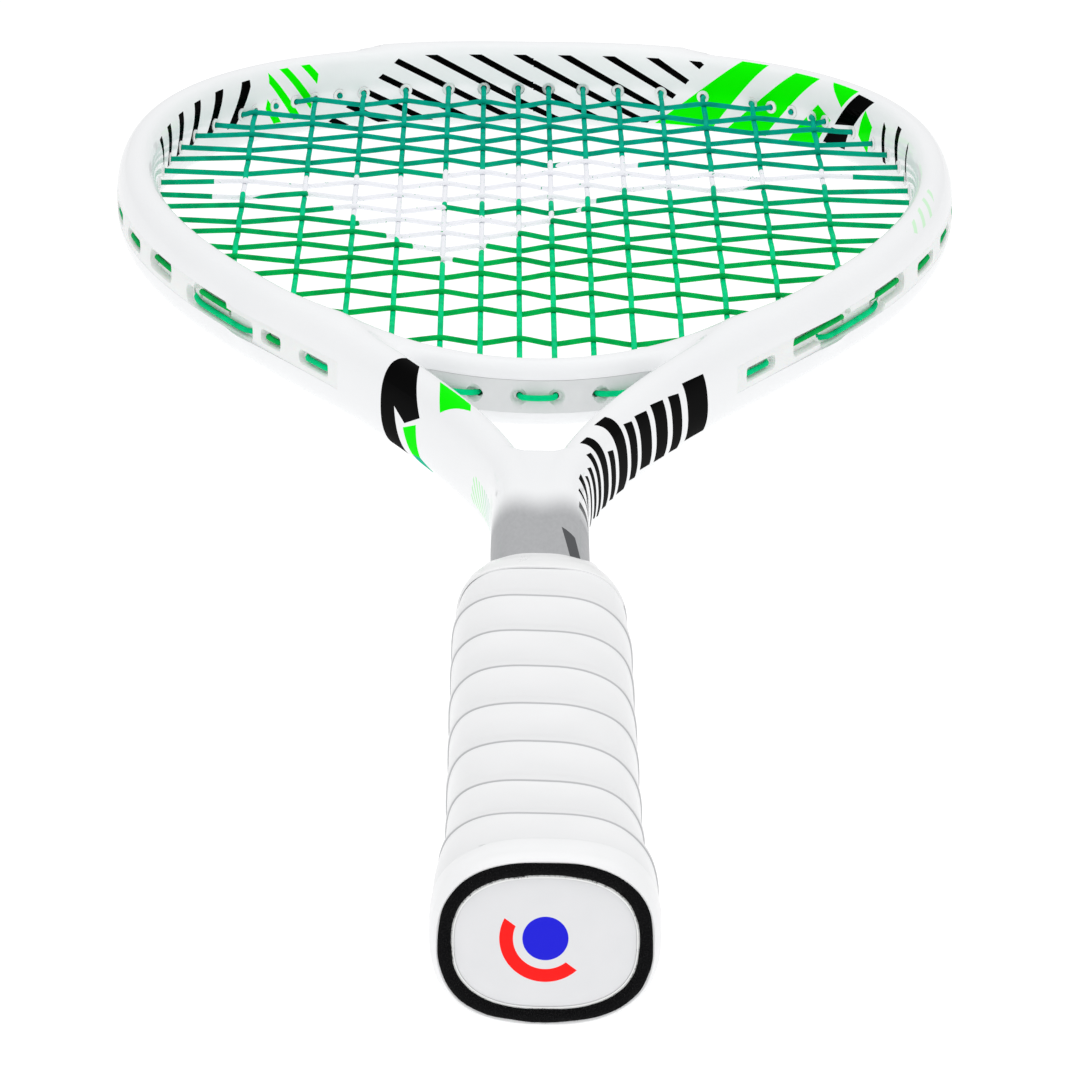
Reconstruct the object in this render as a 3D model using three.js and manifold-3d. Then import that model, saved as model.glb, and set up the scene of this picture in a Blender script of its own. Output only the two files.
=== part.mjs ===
// Squash racket, strung and gripped: a hollow moulded frame, its throat bridge, the grommet
// strips, two lengths of string, and the handle with its pallet, cap, tapes and staples.
// Millimetres. The origin is the middle of the butt badge's face, +Y runs from the butt to the
// head, +X across the racket and +Z out of the string bed.
import * as THREE from 'three';
import { mergeVertices } from 'three/addons/utils/BufferGeometryUtils.js';
import Module from 'manifold-3d';

const wasm = await Module();
wasm.setup();

// ---- driving dimensions ----
const LENGTH = 686;
const HEAD_HALF_WIDTH = 101.2;
const WIDEST_Y = 564.3;
const GAP = 0.3;

const TUBE_HALF_WIDTH = 5.3;
const TUBE_HALF_HEIGHT = 10.3;
const TUBE_SIDES = 12;
const CAVITY_HALF_WIDTH = 2.6;
const CAVITY_HALF_HEIGHT = 8.6;
const CAVITY_INSET = 1.1;
const BUMPER_PROUD = 1.0;
const JUNCTION = [44.5, 390];
const SHAFT_LINE_X = 4.9;
const SHAFT_TOP_Y = 262.5;
const SHAFT_END_Y = 24;
const SHAFT_HALF_WIDTH = 10;
const SHAFT_HALF_HEIGHT = 10;
const SHAFT_CHAMFER = 3.5;
const CROTCH_Y = 288;

const BRIDGE_LOW_Y = 371;
const BRIDGE_CURVE = 0.0165;
const BRIDGE_STRAIGHT_X = 32;
const BRIDGE_END_X = 58;
const BRIDGE_HALF_WIDTH = 5;
const BRIDGE_HALF_HEIGHT = 7.8;

const GROOVE_DEPTH = 2.6;
const GROOVE_HALF_HEIGHT = 3.2;
const STRIP_HALF_HEIGHT = 2.9;
const STRIP_THICKNESS = 1.0;
const STRIP_OUTER = 5.1;
const BRIDGE_GROOVE_HALF_HEIGHT = 3.9;
const BRIDGE_STRIP_HALF_HEIGHT = 3.6;
const BRIDGE_STRIP_HALF_LENGTH = 25;
const BARREL_RADIUS = 1.7;
const BORE_RADIUS = 0.95;
const HOLE_SIDES = 6;
const BARREL_STANDOUT = 0.6;
const POCKET_FLOOR = 3.7;
const POCKET_HALF_WIDTH = 1.0;
const BUMPER_START_Y = 609.5;

const STRING_RADIUS = 0.6;
const STRING_SIDES = 5;
const LOOP_OUT = 4.6;
const BRIDGE_LOOP_OUT = 5.8;
const WEAVE_RISE = 1.5;
const DOUBLE_LOOP_Z = 1.5;
const MAIN_X = [4.1, 13.4, 22.9, 34.4, 45.7, 58.6, 74.2];
const CROSS_Y = [415, 441.5, 457.5, 475, 489, 502, 514.5, 527.5, 540, 552.5, 565,
  577.5, 590, 603, 615.5, 628, 640, 655.5];

const HANDLE_TOP_Y = 221;
const TAPE_TOP_Y = 198;
const PALLET_TOP_Y = 206;
const CAP_SKIRT_Y = 24;
const SKIN = 0.7;
const BACKING = 1.0;
const SECTION_POWER = 2.9;
const HANDLE_SIDES = 16;
// The finished handle: distance from the butt, half width, half height.
const HANDLE_PROFILE = [
  [0.5, 20.1, 15.8], [2.5, 21.1, 16.8], [7, 21.3, 17], [20, 20.9, 16.6], [30, 19.9, 15.6],
  [42, 18.7, 14.5], [60, 18.5, 14.2], [170, 18.25, 14], [180, 18, 13.9], [190, 17.2, 13.6],
  [TAPE_TOP_Y, 16.1, 13.4], [HANDLE_TOP_Y, 11.9, 11.6]];

const group = new THREE.Group();

// ---- solids and cuts ----
function toSolid(geometry) {
  const bare = geometry.clone();
  for (const name of ['normal', 'uv']) bare.deleteAttribute(name);
  const merged = mergeVertices(bare, 1e-4);
  const mesh = new wasm.Mesh({
    numProp: 3,
    vertProperties: new Float32Array(merged.attributes.position.array),
    triVerts: new Uint32Array(merged.index.array),
  });
  mesh.merge();
  return new wasm.Manifold(mesh);
}

function toGeometry(solid) {
  const mesh = solid.getMesh();
  const geometry = new THREE.BufferGeometry();
  geometry.setAttribute('position', new THREE.BufferAttribute(mesh.vertProperties, 3));
  geometry.setIndex(new THREE.BufferAttribute(mesh.triVerts, 1));
  geometry.computeVertexNormals();
  return geometry;
}

const join = (solids) => solids.reduce((all, one) => all.add(one));
const cut = (solid, tools) => tools.reduce((rest, tool) => rest.subtract(tool), solid);

function addPart(name, solid, colour, roughness, metalness = 0) {
  const material = new THREE.MeshStandardMaterial({ color: colour, roughness, metalness });
  const mesh = new THREE.Mesh(toGeometry(solid), material);
  mesh.name = name;
  group.add(mesh);
}

// A path through given stations: an extrusion takes one step to each of them.
class Stations extends THREE.Curve {
  constructor(points) {
    super();
    this.points = points;
  }

  getPoint(t, target = new THREE.Vector3()) {
    const place = t * (this.points.length - 1);
    const index = Math.min(Math.floor(place + 1e-9), this.points.length - 2);
    return target.lerpVectors(this.points[index], this.points[index + 1], place - index);
  }

  getPointAt(u, target) {
    return this.getPoint(u, target);
  }

  getTangentAt(u, target = new THREE.Vector3()) {
    const count = this.points.length;
    const index = Math.round(u * (count - 1));
    const before = this.points[Math.max(index - 1, 0)];
    const after = this.points[Math.min(index + 1, count - 1)];
    return target.subVectors(after, before).normalize();
  }
}

// Sweeps a section along stations that lie in the plane of the racket. In the section, out is
// the distance to the path's outer side and up is the height along Z.
function sweep(stations, section) {
  const shape = new THREE.Shape(section.map(([out, up]) => new THREE.Vector2(-up, out)));
  const path = new Stations(stations);
  const steps = stations.length - 1;
  return toSolid(new THREE.ExtrudeGeometry(shape, { steps, extrudePath: path }));
}

function ellipse(halfWidth, halfHeight, sides, shift = 0) {
  return Array.from({ length: sides }, (_, index) => {
    const angle = (index / sides) * 2 * Math.PI;
    return [shift + halfWidth * Math.cos(angle), halfHeight * Math.sin(angle)];
  });
}

// A round bar from one point to another.
function bar(from, to, radius, sides) {
  const along = new THREE.Vector3().subVectors(to, from);
  const geometry = new THREE.CylinderGeometry(radius, radius, along.length(), sides);
  const turn = new THREE.Quaternion().setFromUnitVectors(
    new THREE.Vector3(0, 1, 0), along.clone().normalize());
  geometry.applyQuaternion(turn);
  geometry.translate(...new THREE.Vector3().addVectors(from, to).multiplyScalar(0.5).toArray());
  return toSolid(geometry);
}

function box(low, high) {
  const geometry = new THREE.BoxGeometry(high[0] - low[0], high[1] - low[1], high[2] - low[2]);
  geometry.translate((low[0] + high[0]) / 2, (low[1] + high[1]) / 2, (low[2] + high[2]) / 2);
  return toSolid(geometry);
}

// ---- centre lines in the plane of the racket ----
const flat = (x, y) => new THREE.Vector3(x, y, 0);
const TOP_LINE_Y = LENGTH - BUMPER_PROUD - TUBE_HALF_WIDTH;
const bezier = (...points) => new THREE.CubicBezierCurve3(...points.map(([x, y]) => flat(x, y)));
const headCurve = bezier(
  [0, TOP_LINE_Y], [27.4, TOP_LINE_Y], [HEAD_HALF_WIDTH, 677], [HEAD_HALF_WIDTH, WIDEST_Y]);
const sideCurve = bezier(
  [HEAD_HALF_WIDTH, WIDEST_Y], [HEAD_HALF_WIDTH, 488.5], [66.2, 431.7], JUNCTION);
const armCurve = bezier(
  JUNCTION, [30.2, 362.7], [SHAFT_LINE_X, 303], [SHAFT_LINE_X, SHAFT_TOP_Y]);

const mirrored = (point, side) => flat(point.x * side, point.y);

// The hoop from the top (0) to its widest (1), the bridge (2) and down the arm.
function hoopAt(t, side, out = 0) {
  const index = Math.min(Math.floor(t), 2);
  const curve = [headCurve, sideCurve, armCurve][index];
  const local = t - index;
  const point = curve.getPoint(local);
  const tangent = curve.getTangent(local);
  const normal = flat(-tangent.y, tangent.x);
  point.addScaledVector(normal, out);
  return { point: mirrored(point, side), normal: mirrored(normal, side), t, side };
}

function bridgeAt(x, out = 0) {
  const reach = Math.min(Math.abs(x), BRIDGE_STRAIGHT_X);
  const slope = 2 * BRIDGE_CURVE * reach * Math.sign(x);
  const y = BRIDGE_LOW_Y + BRIDGE_CURVE * reach * reach + Math.abs(slope) * (Math.abs(x) - reach);
  const normal = flat(slope, -1).normalize();
  return { point: flat(x, y).addScaledVector(normal, out), normal, bridge: true, x };
}

// A hole through the bridge runs in line with its string, so it crosses more of the tube.
function bridgeHole(x) {
  const place = bridgeAt(x);
  return { ...place, stretch: -1 / place.normal.y, normal: flat(0, -1) };
}

// Halves the interval until the hoop's inner face meets a string's line.
function findOnHoop(low, high, side, missBy) {
  let [from, to] = [low, high];
  const rising = missBy(hoopAt(low, side, -TUBE_HALF_WIDTH).point) < 0;
  for (let turn = 0; turn < 40; turn += 1) {
    const middle = (from + to) / 2;
    const below = missBy(hoopAt(middle, side, -TUBE_HALF_WIDTH).point) < 0;
    if (below === rising) from = middle;
    else to = middle;
  }
  return hoopAt((from + to) / 2, side);
}

const WIDEST_T = 1;
const END_T = 2;
const topHole = (x, side) => findOnHoop(0, WIDEST_T, side, (p) => Math.abs(p.x) - x);
const lowHole = (x, side) => findOnHoop(WIDEST_T, END_T, side, (p) => Math.abs(p.x) - x);
const sideHole = (y, side) => findOnHoop(0, END_T, side, (p) => p.y - y);

const BRIDGE_MAINS = 3;
const mains = [];
for (const side of [-1, 1]) {
  MAIN_X.forEach((x, index) => {
    let low = lowHole(x, side);
    if (index < BRIDGE_MAINS) low = bridgeHole(x * side);
    if (index === BRIDGE_MAINS) low = hoopAt(END_T, side);
    mains.push({ x: x * side, index, side, top: topHole(x, side), low });
  });
}
const crosses = CROSS_Y.map((y, index) => (
  { y, index, left: sideHole(y, -1), right: sideHole(y, 1) }));

// Where a string that is tied off comes back in through the hoop, between two other holes.
const between = (one, other) => hoopAt((one.t + other.t) / 2, one.side);
const mainOf = (index, side) => mains.find((main) => main.index === index && main.side === side);
const lastCross = crosses[crosses.length - 1];
const tieHoles = {
  crossLow: between(crosses[0].left, mainOf(5, -1).low),
  crossHigh: between(mainOf(4, -1).top, mainOf(5, -1).top),
  mainLeft: between(mainOf(6, -1).top, lastCross.left),
  mainRight: between(mainOf(6, 1).top, lastCross.right),
};

const hoopHoles = [
  ...mains.map((main) => main.top),
  ...mains.filter((main) => main.index >= BRIDGE_MAINS).map((main) => main.low),
  ...crosses.flatMap((cross) => [cross.left, cross.right]),
  ...Object.values(tieHoles),
];
const bridgeHoles = mains.filter((main) => main.index < BRIDGE_MAINS).map((main) => main.low);

function holeBar(hole, from, to, radius) {
  const start = hole.point.clone().addScaledVector(hole.normal, from);
  const end = hole.point.clone().addScaledVector(hole.normal, to);
  return bar(start, end, radius, HOLE_SIDES);
}

// ---- frame: a hollow hairpin tube with the shaft's walls round its two legs ----
const HEAD_STEPS = 14;
const SIDE_STEPS = 12;
const ARM_STEPS = 10;
const rightLine = [
  ...headCurve.getPoints(HEAD_STEPS),
  ...sideCurve.getPoints(SIDE_STEPS).slice(1),
  ...armCurve.getPoints(ARM_STEPS).slice(1),
];
const shaftEnd = (extra) => flat(SHAFT_LINE_X, SHAFT_END_Y - extra);
function hairpin(extra) {
  const right = [...rightLine, shaftEnd(extra)];
  const left = right.slice(1).reverse().map((point) => mirrored(point, -1));
  return [...left, ...right];
}

function hoopStretch(fromT, toT, side, steps) {
  return Array.from({ length: steps + 1 }, (_, index) => (
    hoopAt(fromT + ((toT - fromT) * index) / steps, side).point));
}

const tubeSection = (grow) => ellipse(
  TUBE_HALF_WIDTH + grow, TUBE_HALF_HEIGHT + grow, TUBE_SIDES);
const tube = sweep(hairpin(0), tubeSection(0));
const cavity = sweep(hairpin(5).filter((_, index) => index % 2 === 0), ellipse(
  CAVITY_HALF_WIDTH, CAVITY_HALF_HEIGHT, 8, -CAVITY_INSET));

function shaftPrism(grow, fromY, toY) {
  const wide = SHAFT_HALF_WIDTH + grow;
  const high = SHAFT_HALF_HEIGHT + grow;
  const shape = new THREE.Shape([
    [wide - SHAFT_CHAMFER, -high], [wide, SHAFT_CHAMFER - high], [wide, high - SHAFT_CHAMFER],
    [wide - SHAFT_CHAMFER, high], [SHAFT_CHAMFER - wide, high], [-wide, high - SHAFT_CHAMFER],
    [-wide, SHAFT_CHAMFER - high], [SHAFT_CHAMFER - wide, -high],
  ].map(([x, y]) => new THREE.Vector2(x, y)));
  const geometry = new THREE.ExtrudeGeometry(shape, { depth: toY - fromY, bevelEnabled: false });
  geometry.rotateX(-Math.PI / 2);
  geometry.translate(0, fromY, 0);
  return toSolid(geometry);
}

// Rectangle of a strip or groove: from and to are distances out, then its low and high Z.
const rectangle = (from, to, low, high) => [[from, low], [to, low], [to, high], [from, high]];

const GROOVE_START_T = 2.08;
const STRIP_START_T = 2.06;
const SIDE_STRIP_STEPS = 18;
const bumperT = sideHole(BUMPER_START_Y, 1).t;
const overHead = (t, steps) => [
  ...hoopStretch(0, t, -1, steps).reverse(), ...hoopStretch(0, t, 1, steps).slice(1)];

// Cutters reach this far past the surface that they cut.
const CLEAR = 3;
const HOLE_RADIUS = BARREL_RADIUS + GAP;
const groove = sweep(overHead(GROOVE_START_T, HEAD_STEPS + SIDE_STEPS), rectangle(
  TUBE_HALF_WIDTH - GROOVE_DEPTH, TUBE_HALF_WIDTH + CLEAR,
  -GROOVE_HALF_HEIGHT, GROOVE_HALF_HEIGHT));
const frameHoles = hoopHoles.map((hole) => holeBar(
  hole, -TUBE_HALF_WIDTH - CLEAR, TUBE_HALF_WIDTH, HOLE_RADIUS));
const frame = cut(
  join([tube, shaftPrism(0, SHAFT_END_Y, CROTCH_Y)]), [cavity, groove, ...frameHoles]);
addPart('frame', frame, 0xf4f5f4, 0.25);

// ---- throat bridge ----
const BRIDGE_STEPS = 22;
function bridgeStretch(reach, steps) {
  return Array.from({ length: steps + 1 }, (_, index) => (
    bridgeAt(reach - (2 * reach * index) / steps).point));
}
const FOURTH_MAIN_ENTRY_Y = 396;
const FIFTH_MAIN_ENTRY_Y = 403;
const ENTRY_DEPTH = 9;
const mainEntries = [-1, 1].flatMap((side) => [
  [MAIN_X[3] * side, FOURTH_MAIN_ENTRY_Y], [MAIN_X[4] * side, FIFTH_MAIN_ENTRY_Y],
].map(([x, y]) => bar(flat(x, y), flat(x, y + ENTRY_DEPTH), HOLE_RADIUS, HOLE_SIDES)));
const fourthMainHoles = [-1, 1].map((side) => holeBar(
  hoopAt(END_T, side), -12.5, 0, HOLE_RADIUS));
const bridgeBody = sweep(bridgeStretch(BRIDGE_END_X, BRIDGE_STEPS), ellipse(
  BRIDGE_HALF_WIDTH, BRIDGE_HALF_HEIGHT, TUBE_SIDES));
const bridgeGroove = sweep(bridgeStretch(BRIDGE_STRIP_HALF_LENGTH + 0.5, 10), rectangle(
  BRIDGE_HALF_WIDTH - GROOVE_DEPTH, BRIDGE_HALF_WIDTH + CLEAR,
  -BRIDGE_GROOVE_HALF_HEIGHT, BRIDGE_GROOVE_HALF_HEIGHT));
const bridge = cut(bridgeBody, [
  sweep(hairpin(0), tubeSection(GAP)), bridgeGroove, ...mainEntries, ...fourthMainHoles,
  ...frameHoles,
  ...bridgeHoles.map((hole) => holeBar(
    hole, -BRIDGE_HALF_WIDTH - CLEAR - 2, BRIDGE_HALF_WIDTH, HOLE_RADIUS)),
]);
addPart('throat_bridge', bridge, 0xeeeeee, 0.3);

// ---- string loops outside the hoop, and the pockets that they lie in ----
const DOUBLE_CROSSES = 4;
const loops = [];
function addLoop(from, to, z = 0) {
  const loop = { from, to, z };
  loops.push(loop);
  return loop;
}
for (const side of [-1, 1]) {
  addLoop(mainOf(0, side).top, mainOf(1, side).top);
  addLoop(mainOf(2, side).top, mainOf(3, side).top);
  addLoop(mainOf(4, side).top, mainOf(5, side).top, -DOUBLE_LOOP_Z);
  addLoop(mainOf(1, side).low, mainOf(2, side).low);
  addLoop(mainOf(3, side).low, mainOf(4, side).low);
  addLoop(mainOf(5, side).low, mainOf(6, side).low, -DOUBLE_LOOP_Z);
}
addLoop(mainOf(6, -1).top, tieHoles.mainLeft, -DOUBLE_LOOP_Z);
addLoop(mainOf(6, 1).top, tieHoles.mainRight, -DOUBLE_LOOP_Z);
addLoop(mainOf(0, -1).low, mainOf(0, 1).low);
for (let index = 0; index + 1 < crosses.length; index += 1) {
  const end = index % 2 === 0 ? 'right' : 'left';
  const doubled = index < DOUBLE_CROSSES || index + DOUBLE_CROSSES > crosses.length;
  addLoop(crosses[index][end], crosses[index + 1][end], doubled ? DOUBLE_LOOP_Z : 0);
}
addLoop(crosses[0].left, tieHoles.crossLow);
addLoop(lastCross.left, tieHoles.crossHigh, DOUBLE_LOOP_Z);

const POCKET_END = 1.3;
function pocket({ from, to, z }) {
  const side = from.side;
  const [low, high] = [Math.min(from.t, to.t), Math.max(from.t, to.t)];
  const speed = hoopAt(low, side).point.distanceTo(hoopAt(high, side).point) / (high - low);
  const extra = POCKET_END / speed;
  const steps = Math.max(2, Math.round((speed * (high - low)) / 7));
  const stretch = hoopStretch(low - extra, high + extra, side, steps);
  if (side < 0) stretch.reverse();
  return sweep(stretch, rectangle(
    POCKET_FLOOR, TUBE_HALF_WIDTH + CLEAR,
    Math.min(z, 0) - POCKET_HALF_WIDTH, Math.max(z, 0) + POCKET_HALF_WIDTH));
}
const stripBottom = TUBE_HALF_WIDTH - GROOVE_DEPTH + GAP;
const stripTop = stripBottom + STRIP_THICKNESS;

// A strip or bumper with its own barrels, bored for the string.
function grommetStrip(body, holes, innerFace) {
  const barrels = holes.map((hole) => holeBar(
    hole, -innerFace * (hole.stretch ?? 1) - BARREL_STANDOUT, stripBottom + 0.5, BARREL_RADIUS));
  const bores = holes.map((hole) => holeBar(
    hole, -innerFace - CLEAR - 2, TUBE_HALF_WIDTH + CLEAR, BORE_RADIUS));
  return cut(join([body, ...barrels]), bores);
}

const stripSection = rectangle(stripBottom, STRIP_OUTER, -STRIP_HALF_HEIGHT, STRIP_HALF_HEIGHT);
const pocketsOf = (test) => loops.filter((loop) => !loop.from.bridge && test(loop)).map(pocket);
for (const [name, side] of [['left', -1], ['right', 1]]) {
  const stretch = hoopStretch(bumperT + 0.004, STRIP_START_T, side, SIDE_STRIP_STEPS);
  if (side < 0) stretch.reverse();
  const holes = hoopHoles.filter((hole) => hole.side === side && hole.t > bumperT);
  const strip = grommetStrip(sweep(stretch, stripSection), holes, TUBE_HALF_WIDTH);
  const own = pocketsOf(({ from, to }) => from.side === side && Math.max(from.t, to.t) > bumperT);
  addPart(`side_grommet_strip_${name}`, cut(strip, own), 0xe9ebe9, 0.45);
}

// ---- head bumper: two rails over the tube, with the string channel between them ----
const BUMPER_OUT = TUBE_HALF_WIDTH + BUMPER_PROUD;
const CHANNEL_HALF = DOUBLE_LOOP_Z + POCKET_HALF_WIDTH;
const bumperHalf = [
  [stripBottom, STRIP_HALF_HEIGHT], [TUBE_HALF_WIDTH + 0.2, STRIP_HALF_HEIGHT], [4.8, 6.2],
  [5.4, 6.5], [BUMPER_OUT, 4.4], [BUMPER_OUT, CHANNEL_HALF], [POCKET_FLOOR, CHANNEL_HALF]];
const bumperSection = [...bumperHalf, ...bumperHalf.map(([out, up]) => [out, -up]).reverse()];
const bumperHoles = hoopHoles.filter((hole) => hole.t < bumperT);
const bumper = grommetStrip(
  sweep(overHead(bumperT - 0.004, HEAD_STEPS), bumperSection), bumperHoles, TUBE_HALF_WIDTH);
addPart('head_bumper', bumper, 0xf0f1f0, 0.4);

const throatStrip = grommetStrip(
  sweep(bridgeStretch(BRIDGE_STRIP_HALF_LENGTH, 10), rectangle(
    stripBottom, BRIDGE_HALF_WIDTH - 0.1, -BRIDGE_STRIP_HALF_HEIGHT, BRIDGE_STRIP_HALF_HEIGHT)),
  bridgeHoles, BRIDGE_HALF_WIDTH);
addPart('throat_grommet_strip', throatStrip, 0xd9dbda, 0.5);

// ---- strings ----
const HOLE_MOUTH = 1.2;
const LOOP_START = 0.12;
const LOOP_BEND = 0.3;
const alongHole = (hole, out) => hole.point.clone().addScaledVector(hole.normal, out);
const mouth = (hole) => alongHole(hole, -TUBE_HALF_WIDTH * (hole.stretch ?? 1) - HOLE_MOUTH);

// Stations of a loop: out through one hole, along the outside, and back in through the other.
function loopStations({ from, to, z }) {
  const out = from.bridge ? BRIDGE_LOOP_OUT : LOOP_OUT;
  const on = (share) => {
    if (from.bridge) return bridgeAt(from.x + (to.x - from.x) * share, out).point;
    return hoopAt(from.t + (to.t - from.t) * share, from.side, out).point.setZ(z);
  };
  const bend = out - LOOP_BEND;
  return [
    mouth(from), alongHole(from, bend),
    on(LOOP_START), on(0.5), on(1 - LOOP_START),
    alongHole(to, bend), mouth(to)];
}
const findLoop = (hole, other) => {
  const loop = loops.find((one) => (
    (one.from === hole && one.to === other) || (one.from === other && one.to === hole)));
  return loop.from === hole ? loopStations(loop) : loopStations(loop).reverse();
};

function stringSolid(stations) {
  const shape = new THREE.Shape(ellipse(STRING_RADIUS, STRING_RADIUS, STRING_SIDES)
    .map(([x, y]) => new THREE.Vector2(x, y)));
  const steps = stations.length - 1;
  return toSolid(new THREE.ExtrudeGeometry(shape, { steps, extrudePath: new Stations(stations) }));
}

const KNOT_RADIUS = 1.5;
function knotAt(hole) {
  const geometry = new THREE.IcosahedronGeometry(KNOT_RADIUS, 0);
  const out = -TUBE_HALF_WIDTH - HOLE_MOUTH - KNOT_RADIUS * 0.6;
  geometry.translate(...alongHole(hole, out).toArray());
  return toSolid(geometry);
}

// The mains: from the left tie-off down the seventh, up the sixth and so on to the first, over
// the middle loop, and the same way back on the right.
const RUN_END = 2.5;
function runDown({ x, index, top, low }) {
  const from = flat(x, alongHole(top, -TUBE_HALF_WIDTH).y - RUN_END);
  if (index === BRIDGE_MAINS) {
    return [from, flat(x, FOURTH_MAIN_ENTRY_Y + RUN_END), alongHole(low, -10.5)];
  }
  const face = -TUBE_HALF_WIDTH * (low.stretch ?? 1);
  return [from, flat(x, alongHole(low, face).y + RUN_END)];
}
const leftMains = [...findLoop(tieHoles.mainLeft, mainOf(6, -1).top)];
for (let index = MAIN_X.length - 1; index > 0; index -= 1) {
  const [main, next] = [mainOf(index, -1), mainOf(index - 1, -1)];
  const down = index % 2 === 0;
  leftMains.push(...(down ? runDown(main) : runDown(main).reverse()));
  leftMains.push(...(down ? findLoop(main.low, next.low) : findLoop(main.top, next.top)));
}
leftMains.push(...runDown(mainOf(0, -1)));
const rightMains = leftMains.map(({ x, y, z }) => new THREE.Vector3(-x, y, z)).reverse();
const middleLoop = findLoop(mainOf(0, -1).low, mainOf(0, 1).low);
addPart('main_string', join([
  stringSolid([...leftMains, ...middleLoop, ...rightMains]),
  knotAt(tieHoles.mainLeft), knotAt(tieHoles.mainRight),
]), 0x0fc489, 0.4);

// The crosses: woven over one main and under the next, every row the other way round.
const orderedMains = mains.map((main) => main.x).sort((a, b) => a - b);
const NEAR_HOLE = 3;
const crossStations = [...findLoop(tieHoles.crossLow, crosses[0].left)];
crosses.forEach((cross, row) => {
  const reach = Math.abs(alongHole(cross.right, -TUBE_HALF_WIDTH).x) - NEAR_HOLE;
  const woven = orderedMains.map((x, column) => (
    new THREE.Vector3(x, cross.y, (row + column) % 2 === 0 ? WEAVE_RISE : -WEAVE_RISE)))
    .filter((point) => Math.abs(point.x) < reach);
  if (row % 2 === 1) woven.reverse();
  crossStations.push(...woven);
  const end = row % 2 === 0 ? 'right' : 'left';
  if (row + 1 < crosses.length) crossStations.push(...findLoop(cross[end], crosses[row + 1][end]));
});
crossStations.push(...findLoop(lastCross.left, tieHoles.crossHigh));
addPart('cross_string', join([
  stringSolid(crossStations), knotAt(tieHoles.crossLow), knotAt(tieHoles.crossHigh),
]), 0x0aa85a, 0.4);

// ---- handle: lofts of rounded rectangles along Y ----
function loft(sections) {
  const steps = sections.length - 1;
  const circle = new THREE.Shape(
    ellipse(1, 1, HANDLE_SIDES).map(([x, y]) => new THREE.Vector2(x, y)));
  const geometry = new THREE.ExtrudeGeometry(circle, { depth: steps, steps, bevelEnabled: false });
  const places = geometry.attributes.position;
  const square = (value, reach) => (
    Math.sign(value) * reach * Math.abs(value) ** (2 / SECTION_POWER));
  for (let index = 0; index < places.count; index += 1) {
    const [along, wide, high] = sections[Math.round(places.getZ(index))];
    places.setXYZ(
      index, square(places.getX(index), wide), along, -square(places.getY(index), high));
  }
  return toSolid(geometry);
}

// The handle's outline between two distances from the butt, drawn in by an inset.
function outline(inset, fromY, toY) {
  const at = (y) => {
    const next = Math.max(1, HANDLE_PROFILE.findIndex(([along]) => along >= y));
    const [low, high] = [HANDLE_PROFILE[next - 1], HANDLE_PROFILE[next]];
    const share = THREE.MathUtils.clamp((y - low[0]) / (high[0] - low[0]), 0, 1);
    const size = [1, 2].map((part) => THREE.MathUtils.lerp(low[part], high[part], share) - inset);
    return [y, ...size];
  };
  const inside = HANDLE_PROFILE.map(([along]) => along).filter((y) => y > fromY && y < toY);
  return [fromY, ...inside, toY].map(at);
}

const CORE_INSET = SKIN + GAP + BACKING + GAP;
const RIM_INSET = CORE_INSET + 1;
const RIM_Y = 4;
const SKIRT = 1.6;
const BUTT_Y = 0.5;
// The core is drawn in at the very end, where the tape's edge turns in over the cap's rim.
const coreOutline = (extra, fromY, toY) => outline(0, fromY, toY).map(([y, wide, high]) => {
  const inset = (y < RIM_Y ? RIM_INSET : CORE_INSET) + extra;
  return [y, wide - inset, high - inset];
});
const collarInset = SKIN + GAP;

const skin = cut(loft(outline(0, BUTT_Y, TAPE_TOP_Y)), [loft(outline(SKIN, -1, TAPE_TOP_Y + 1))]);
addPart('grip_tape', skin, 0xf2f2f2, 0.45);
const backing = cut(
  loft(outline(SKIN + GAP, BUTT_Y, TAPE_TOP_Y)), [loft(coreOutline(-GAP, -1, TAPE_TOP_Y + 1))]);
addPart('grip_backing', backing, 0x161616, 0.95);
const collar = cut(
  loft(outline(0, TAPE_TOP_Y + GAP, HANDLE_TOP_Y)),
  [loft(outline(SKIN, TAPE_TOP_Y - 1, HANDLE_TOP_Y)),
    shaftPrism(GAP * 2, TAPE_TOP_Y, HANDLE_TOP_Y + 2)]);
addPart('finishing_tape', collar, 0xf6f6f6, 0.35);

const BADGE_HALF = [16.2, 11.9];
const BADGE_THICKNESS = 1.2;
const badgeOutline = (grow, fromY, toY) => [fromY, toY].map((y) => (
  [y, BADGE_HALF[0] + grow, BADGE_HALF[1] + grow]));
addPart('butt_badge', loft(badgeOutline(0, 0, BADGE_THICKNESS)), 0xfafafa, 0.12);

const STAPLE_WIRE = 0.8;
const STAPLE_SPAN = 9;
const STAPLE_LEG = 5.5;
const STAPLE_Y = 14;
const CAP_FLOOR_Y = 5;
const stapleTop = coreOutline(0, STAPLE_Y, STAPLE_Y + 1)[0][2] - 0.1;
function staple(side, grow) {
  const half = STAPLE_WIRE / 2 + grow;
  const block = (x0, x1, z0, z1) => {
    const [low, high] = [Math.min(z0 * side, z1 * side), Math.max(z0 * side, z1 * side)];
    return box([x0, STAPLE_Y - half, low], [x1, STAPLE_Y + half, high]);
  };
  const reach = STAPLE_SPAN / 2;
  return join([
    block(-reach - half, reach + half, stapleTop - STAPLE_WIRE - grow, stapleTop + grow * 8),
    block(-reach - half, half - reach, stapleTop - STAPLE_LEG - grow, stapleTop),
    block(reach - half, reach + half, stapleTop - STAPLE_LEG - grow, stapleTop),
  ]);
}
const staples = [['top', 1], ['bottom', -1]];
for (const [name, side] of staples) {
  addPart(`cap_staple_${name}`, staple(side, 0), 0xb8babd, 0.3, 1);
}
const stapleCuts = staples.map(([, side]) => staple(side, GAP));

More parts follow.
